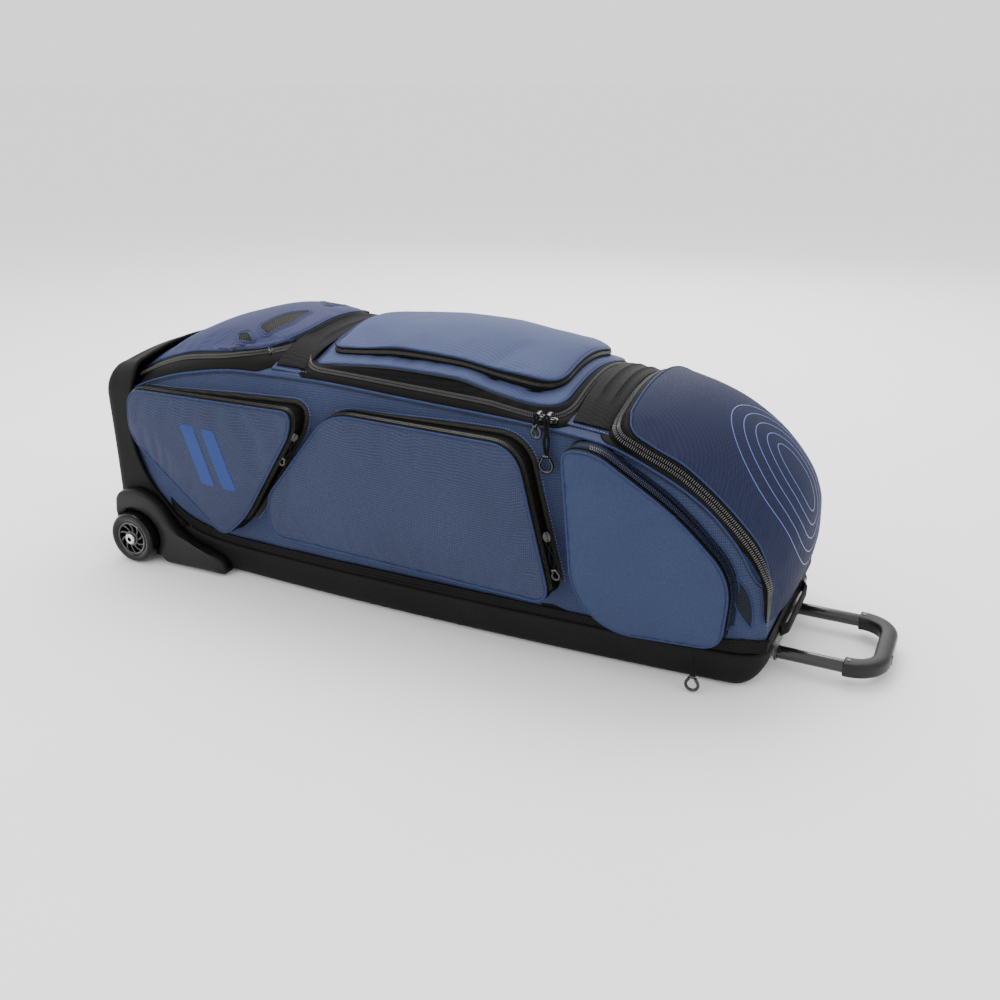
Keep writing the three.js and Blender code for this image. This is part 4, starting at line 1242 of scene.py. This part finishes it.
def wheel(label, side):
    body = f"wheel_{label}"
    outer, inner = (edge("tyre_near", k, 1) * -1 for k in (0, 1))
    radius = (edge("tyre_near", 1, 2) - edge("tyre_near", 0, 2)) / 2
    middle = (outer + inner) / 2
    half = (outer - inner) / 2
    arc = np.linspace(-np.pi / 2, np.pi / 2, 17)
    tread = [(radius - 7 + 7 * max(0.0, math.cos(a)) ** 0.6, middle + half * math.sin(a)) for a in arc]
    profile = [(25.6, inner + 3)] + tread + [(25.6, outer - 3)]
    tyre = lathe(profile, side)
    made(f"tyre_{label}_tread", *grid(tyre, close_rows=True, close_columns=True), RUBBER, body,
         "wheel_rubber", [f"tyre_{label}"])
    face = outer - 2.6
    rim = [(25.3, -15), (25.3, 0), (24.2, 0.8), (22.2, 0.2), (21.6, -3), (21.6, -12)]
    core = [(4.6, -12), (11.5, -12), (12.2, -2), (11.0, 0.2), (8.5, 0.6), (4.6, 0.2)]
    back = [(4.6, -9), (22, -9), (22, -8), (4.6, -8)]
    parts = [grid(lathe([(r, face + y) for r, y in turned], side), close_rows=True, close_columns=True)
             for turned in (rim, core, back)]
    blade = [(-1.5, -4), (-1.1, 1.2), (0, 1.7), (1.1, 1.2), (1.5, -4)]
    spokes = 10
    for k in range(spokes):
        start = 2 * math.pi * k / spokes
        r = np.linspace(11.2, 22.6, 9)
        a = start + 0.42 * ((r - 11.2) / 11.4) ** 1.2
        path = np.column_stack([r * np.cos(a), np.full(9, side * (face - 2.2)), AXLE_Z + r * np.sin(a)])
        parts.append(sweep(path, [0.0, side, 0.0], blade))
    made(f"hub_{label}_spokes", *joined(parts), GLOSS, body, "black_gloss", [f"hub_{label}"])
    bolt_y = edge("axle_bolt_near", 0, 1) * -1
    head = [(0.01, bolt_y), (3.6, bolt_y), (4.2, bolt_y - 0.5), (5.4, bolt_y + 0.2), (7.2, bolt_y - 0.4),
            (8.0, bolt_y - 1.2), (8.0, bolt_y - 3.4), (0.01, bolt_y - 3.4)]
    made(f"axle_head_{label}", *grid(lathe(head, side, 40), close_columns=True), STEEL, "bag", "steel")
    for part in ("inner", "outer"):
        NODES[f"bearing_{part}_{label}"].data.materials.clear()
        NODES[f"bearing_{part}_{label}"].data.materials.append(STEEL)


# ---------- sliders and pulls ----------
def tube(path, radius, sides=8):
    path = np.asarray(path, float)
    return sweep(path, [0.31, 0.17, 0.93], ring(radius, sides))


def cord_pull(name, node, body, top, lean, drop, y, eye, thick=1.15):
    """Two crossed cord strands hanging from a slider, ending in a moulded ring."""
    x, z = top
    down = np.array([-math.sin(lean), 0.0, -math.cos(lean)])
    across = np.array([math.cos(lean), 0.0, -math.sin(lean)])
    start = np.array([x, y, z], float)
    neck = drop - 2 * eye
    parts = []
    v = np.linspace(0, neck + 1.0, 30)
    for sign in (-1, 1):
        sway = sign * 2.7 * np.cos(np.pi * 1.5 * v / neck)
        lift = sign * 1.0 * np.sin(np.pi * 3 * v / neck)
        strand = start + down * v[:, None] + across * sway[:, None] + np.array([0, 1.0, 0]) * lift[:, None]
        parts.append(tube(strand, thick, 8))
    top_turn = np.linspace(0, np.pi, 9)
    loop = start + across * (2.7 * np.cos(top_turn))[:, None] - down * (3.0 * np.sin(top_turn))[:, None]
    parts.append(tube(loop, thick, 8))
    made(f"{name}_cord", *joined(parts), CORD, body, "black_webbing", [node] if node else ())
    turn = np.linspace(math.radians(40), math.radians(320), 26)
    centre = start + down * (drop - eye)
    arc = centre - down * (eye * 0.86 * np.cos(turn))[:, None] + across * (eye * 0.86 * np.sin(turn))[:, None]
    arc = np.vstack([arc[0] - down * 3.0 - across * 1.0, arc, arc[-1] - down * 3.0 + across * 1.0])
    shoulder = start + down * (neck - 1.5) + across * np.linspace(-3.4, 3.4, 7)[:, None]
    ring_part = joined([tube(arc, 1.9, 10), tube(shoulder, 2.3, 10)])
    made(f"{name}_ring", *ring_part, GLOSS, body, "black_gloss")


def slider_body(name, centre, up, along, body, node=None):
    """A zip slider: a tapered body with a raised bridge."""
    c, up, along = (np.array(v, float) for v in (centre, up, along))
    along = unit(along)
    up = unit(up)
    path = [c + along * s for s in np.linspace(-6, 6, 7)]
    width = np.array([3.0, 4.2, 4.8, 5.0, 4.8, 4.0, 3.0])
    side = np.cross(along, up)
    rows = []
    for p, w in zip(path, width):
        section = [(-w, 0), (-w, 2.4), (-w + 1.4, 3.4), (w - 1.4, 3.4), (w, 2.4), (w, 0)]
        rows.append([p + side * a + up * b for a, b in section])
    verts, faces = grid(np.array(rows), close_columns=True)
    faces += [tuple(range(6)), tuple(range(len(verts) - 6, len(verts)))]
    turn = np.linspace(0, np.pi, 9)[:, None]
    bridge = c + along * (4.6 * np.cos(turn)) + up * (3.2 + 2.8 * np.sin(turn))
    parts = joined([(verts, faces), tube(bridge, 1.0, 8)])
    made(name, *parts, GLOSS, body, "black_gloss", [node] if node else ())


def pulls():
    for name, body, pull_body, x in (("rear", "main_slider", "main_pull_rear", 628),
                                     ("front", "bag", "main_pull_front", 641)):
        low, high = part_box(f"main_pull_{name}")
        y = (low.y + high.y) / 2 / SCALE
        top_z, drop = high.z / SCALE, (high.z - low.z) / SCALE
        centre = (x, -136, float(skin(x, -134.0)) + 4)
        slider_body(f"main_slide_{name}", centre, (0, -0.6, 1), (1, 0, 0), body, f"main_slider_{name}")
        bend = [(x, -139, top_z - 1), (x, -146, top_z + 2.5), (x, y, top_z - 1)]
        tab = sweep(bend, [0, -0.5, 1], strip(3.2, 1.6))
        made(f"main_tab_{name}", *tab, GLOSS, body, "black_gloss")
        cord_pull(f"main_{name}", f"main_pull_{name}", pull_body, (x, top_z - 1), 0.0, drop, y,
                  9.5 if name == "front" else 6.5, 1.6)
    for label, side in SIDES:
        y = side * 170.0
        rear, middle = f"rear_pull_{label}", f"middle_pull_{label}"
        cord_pull(f"rear_{label}", f"rear_pocket_pull_{label}", rear, (300, 232), 0.588, 46, y, 4.5)
        cord_pull(f"middle_{label}", f"middle_pocket_pull_{label}", middle, (650.5, 162), -0.2513, 52, y, 5.5)
        slider_body(f"rear_slide_{label}", (300, y, 235), (0.5, side, 0), (-0.55, 0, -0.83), rear)
        slider_body(f"middle_slide_{label}", (650, y, 166), (0.5, side, 0), (-0.25, 0, 0.97), middle)
    cord_pull("tray", "tray_pull", "tray_pull", (831, 52), 0.0, 50, -162, 8.5, 0.7)
    cord_pull("nose", None, "bag", (870, 184), -0.25, 58, 147, 5.5)
    slider_body("nose_slide", (870, 143, 186), (0.4, 1, 0.4), (0.7, 0, -0.7), "bag")
    cord_pull("vent", None, "vent_lid", (250, 329), 0.9, 24, 107, 3.5, 0.8)


def shoulder_piping():
    xs = np.linspace(4, 893, 160)
    for label, side in SIDES:
        path = np.column_stack([xs, side * (half_at(xs) + 0.8), shoulder_at(xs) + 0.3])
        normal = np.array([0, side * 0.8, 0.6])
        piping(f"shoulder_{label}", path, normal, "bag", closed=False, radius=1.6)
        # A dark line just under the piping: painted shade for the crease beside it.
        path2 = path + [0, side * 0.2, -3.6]
        made(f"shoulder_groove_shade_{label}", *sweep(path2, normal, ring(0.8, 6)), GROOVE_SHADE, "bag")


def dress_nodes():
    """Finishes for the CAD nodes that stay as they are."""
    finish = {"guide_bracket": MOULDED, "release_button": GLOSS, "floor_board": BOARD,
              "rear_divider": LINING, "front_divider": LINING}
    for label, _ in SIDES:
        finish[f"handle_tube_{label}"] = GLOSS
        for part in ("guide_tube", "push_rod", "axle_bolt"):
            finish[f"{part}_{label}"] = STEEL
    for name, mat in finish.items():
        node = NODES[name]
        node.data.materials.clear()
        node.data.materials.append(mat)
    for name in ("guide_bracket", "release_button"):
        soften(NODES[name], 0.8, 3, 30)
        NODES[name].data.shade_smooth()
        NODES[name].data.set_sharp_from_angle(angle=math.radians(35))
    for name in ("handle_tube_near", "handle_tube_far", "guide_tube_near", "guide_tube_far"):
        NODES[name].data.shade_smooth()
        NODES[name].data.set_sharp_from_angle(angle=math.radians(35))


def floor():
    size = 40.0
    verts = [(-size, -size, 0), (size, -size, 0), (size, size, 0), (-size, size, 0)]
    mesh = bpy.data.meshes.new("floor")
    mesh.from_pydata(verts, [], [(0, 1, 2, 3)])
    obj = bpy.data.objects.new("floor", mesh)
    obj.location.z = -0.0005
    bpy.context.collection.objects.link(obj)
    paint = grained("floor_paint", (0.97, 0.97, 0.97), 1.0, 4.0, 0.02, spread=0.01, Specular_IOR_Level=0.0)
    mesh.materials.append(paint)


def mark_patch():
    """A plain pair of slanted blue bars printed on each rear pocket."""
    rim = rim_line(POCKETS["rear"])
    for label, side in SIDES:
        face = bpy.data.objects[f"rear_pocket_{label}_face"]
        for k, x0 in enumerate((112, 150)):
            outline = rounded([(x0, 226, 4), (x0 + 24, 226, 4), (x0 + 54, 146, 4), (x0 + 30, 146, 4)], 3.0)
            uv = patch(outline, [(x0, 226), (x0 + 24, 226), (x0 + 54, 146), (x0 + 30, 146)], 10, 26)
            y = side * (rim(uv[..., 0]) + PUFF)
            points = np.dstack([uv[..., 0], y, uv[..., 1]])
            laid = laid_on(face, points.reshape(-1, 3), [0, side, 0.0], 0.35)
            made(f"trim_{label}_{k}", *grid(laid.reshape(points.shape)), ART, f"rear_flap_{label}")


camera_and_light()
floor()
body_shell()
shoulder_piping()
vent_details(box_lid("vent", VENT, VENT_CLOTH, "vent_lid", ["vent_lid"], "rear", tape=26.0))
vent_apron()
box_lid("main", MAIN, LIT_TOP_CLOTH, "main_lid", ["main_lid"], "far")
top_pocket()
nose_lid()
for pocket_name, pocket_spec in POCKETS.items():
    for side_label, side_sign in SIDES:
        side_pocket(pocket_name, pocket_spec, side_label, side_sign)
seam_slit()
mark_patch()
tray()
end_shell()
band()
grab_strap("rear_grab_strap", 276, 5)
grab_strap("front_grab_strap", 682, 5, 122.0)
end_handle()
bezel()
grip()
for side_label, side_sign in SIDES:
    wheel(side_label, side_sign)
    wheel_housing(side_label, side_sign)
pulls()
dress_nodes()
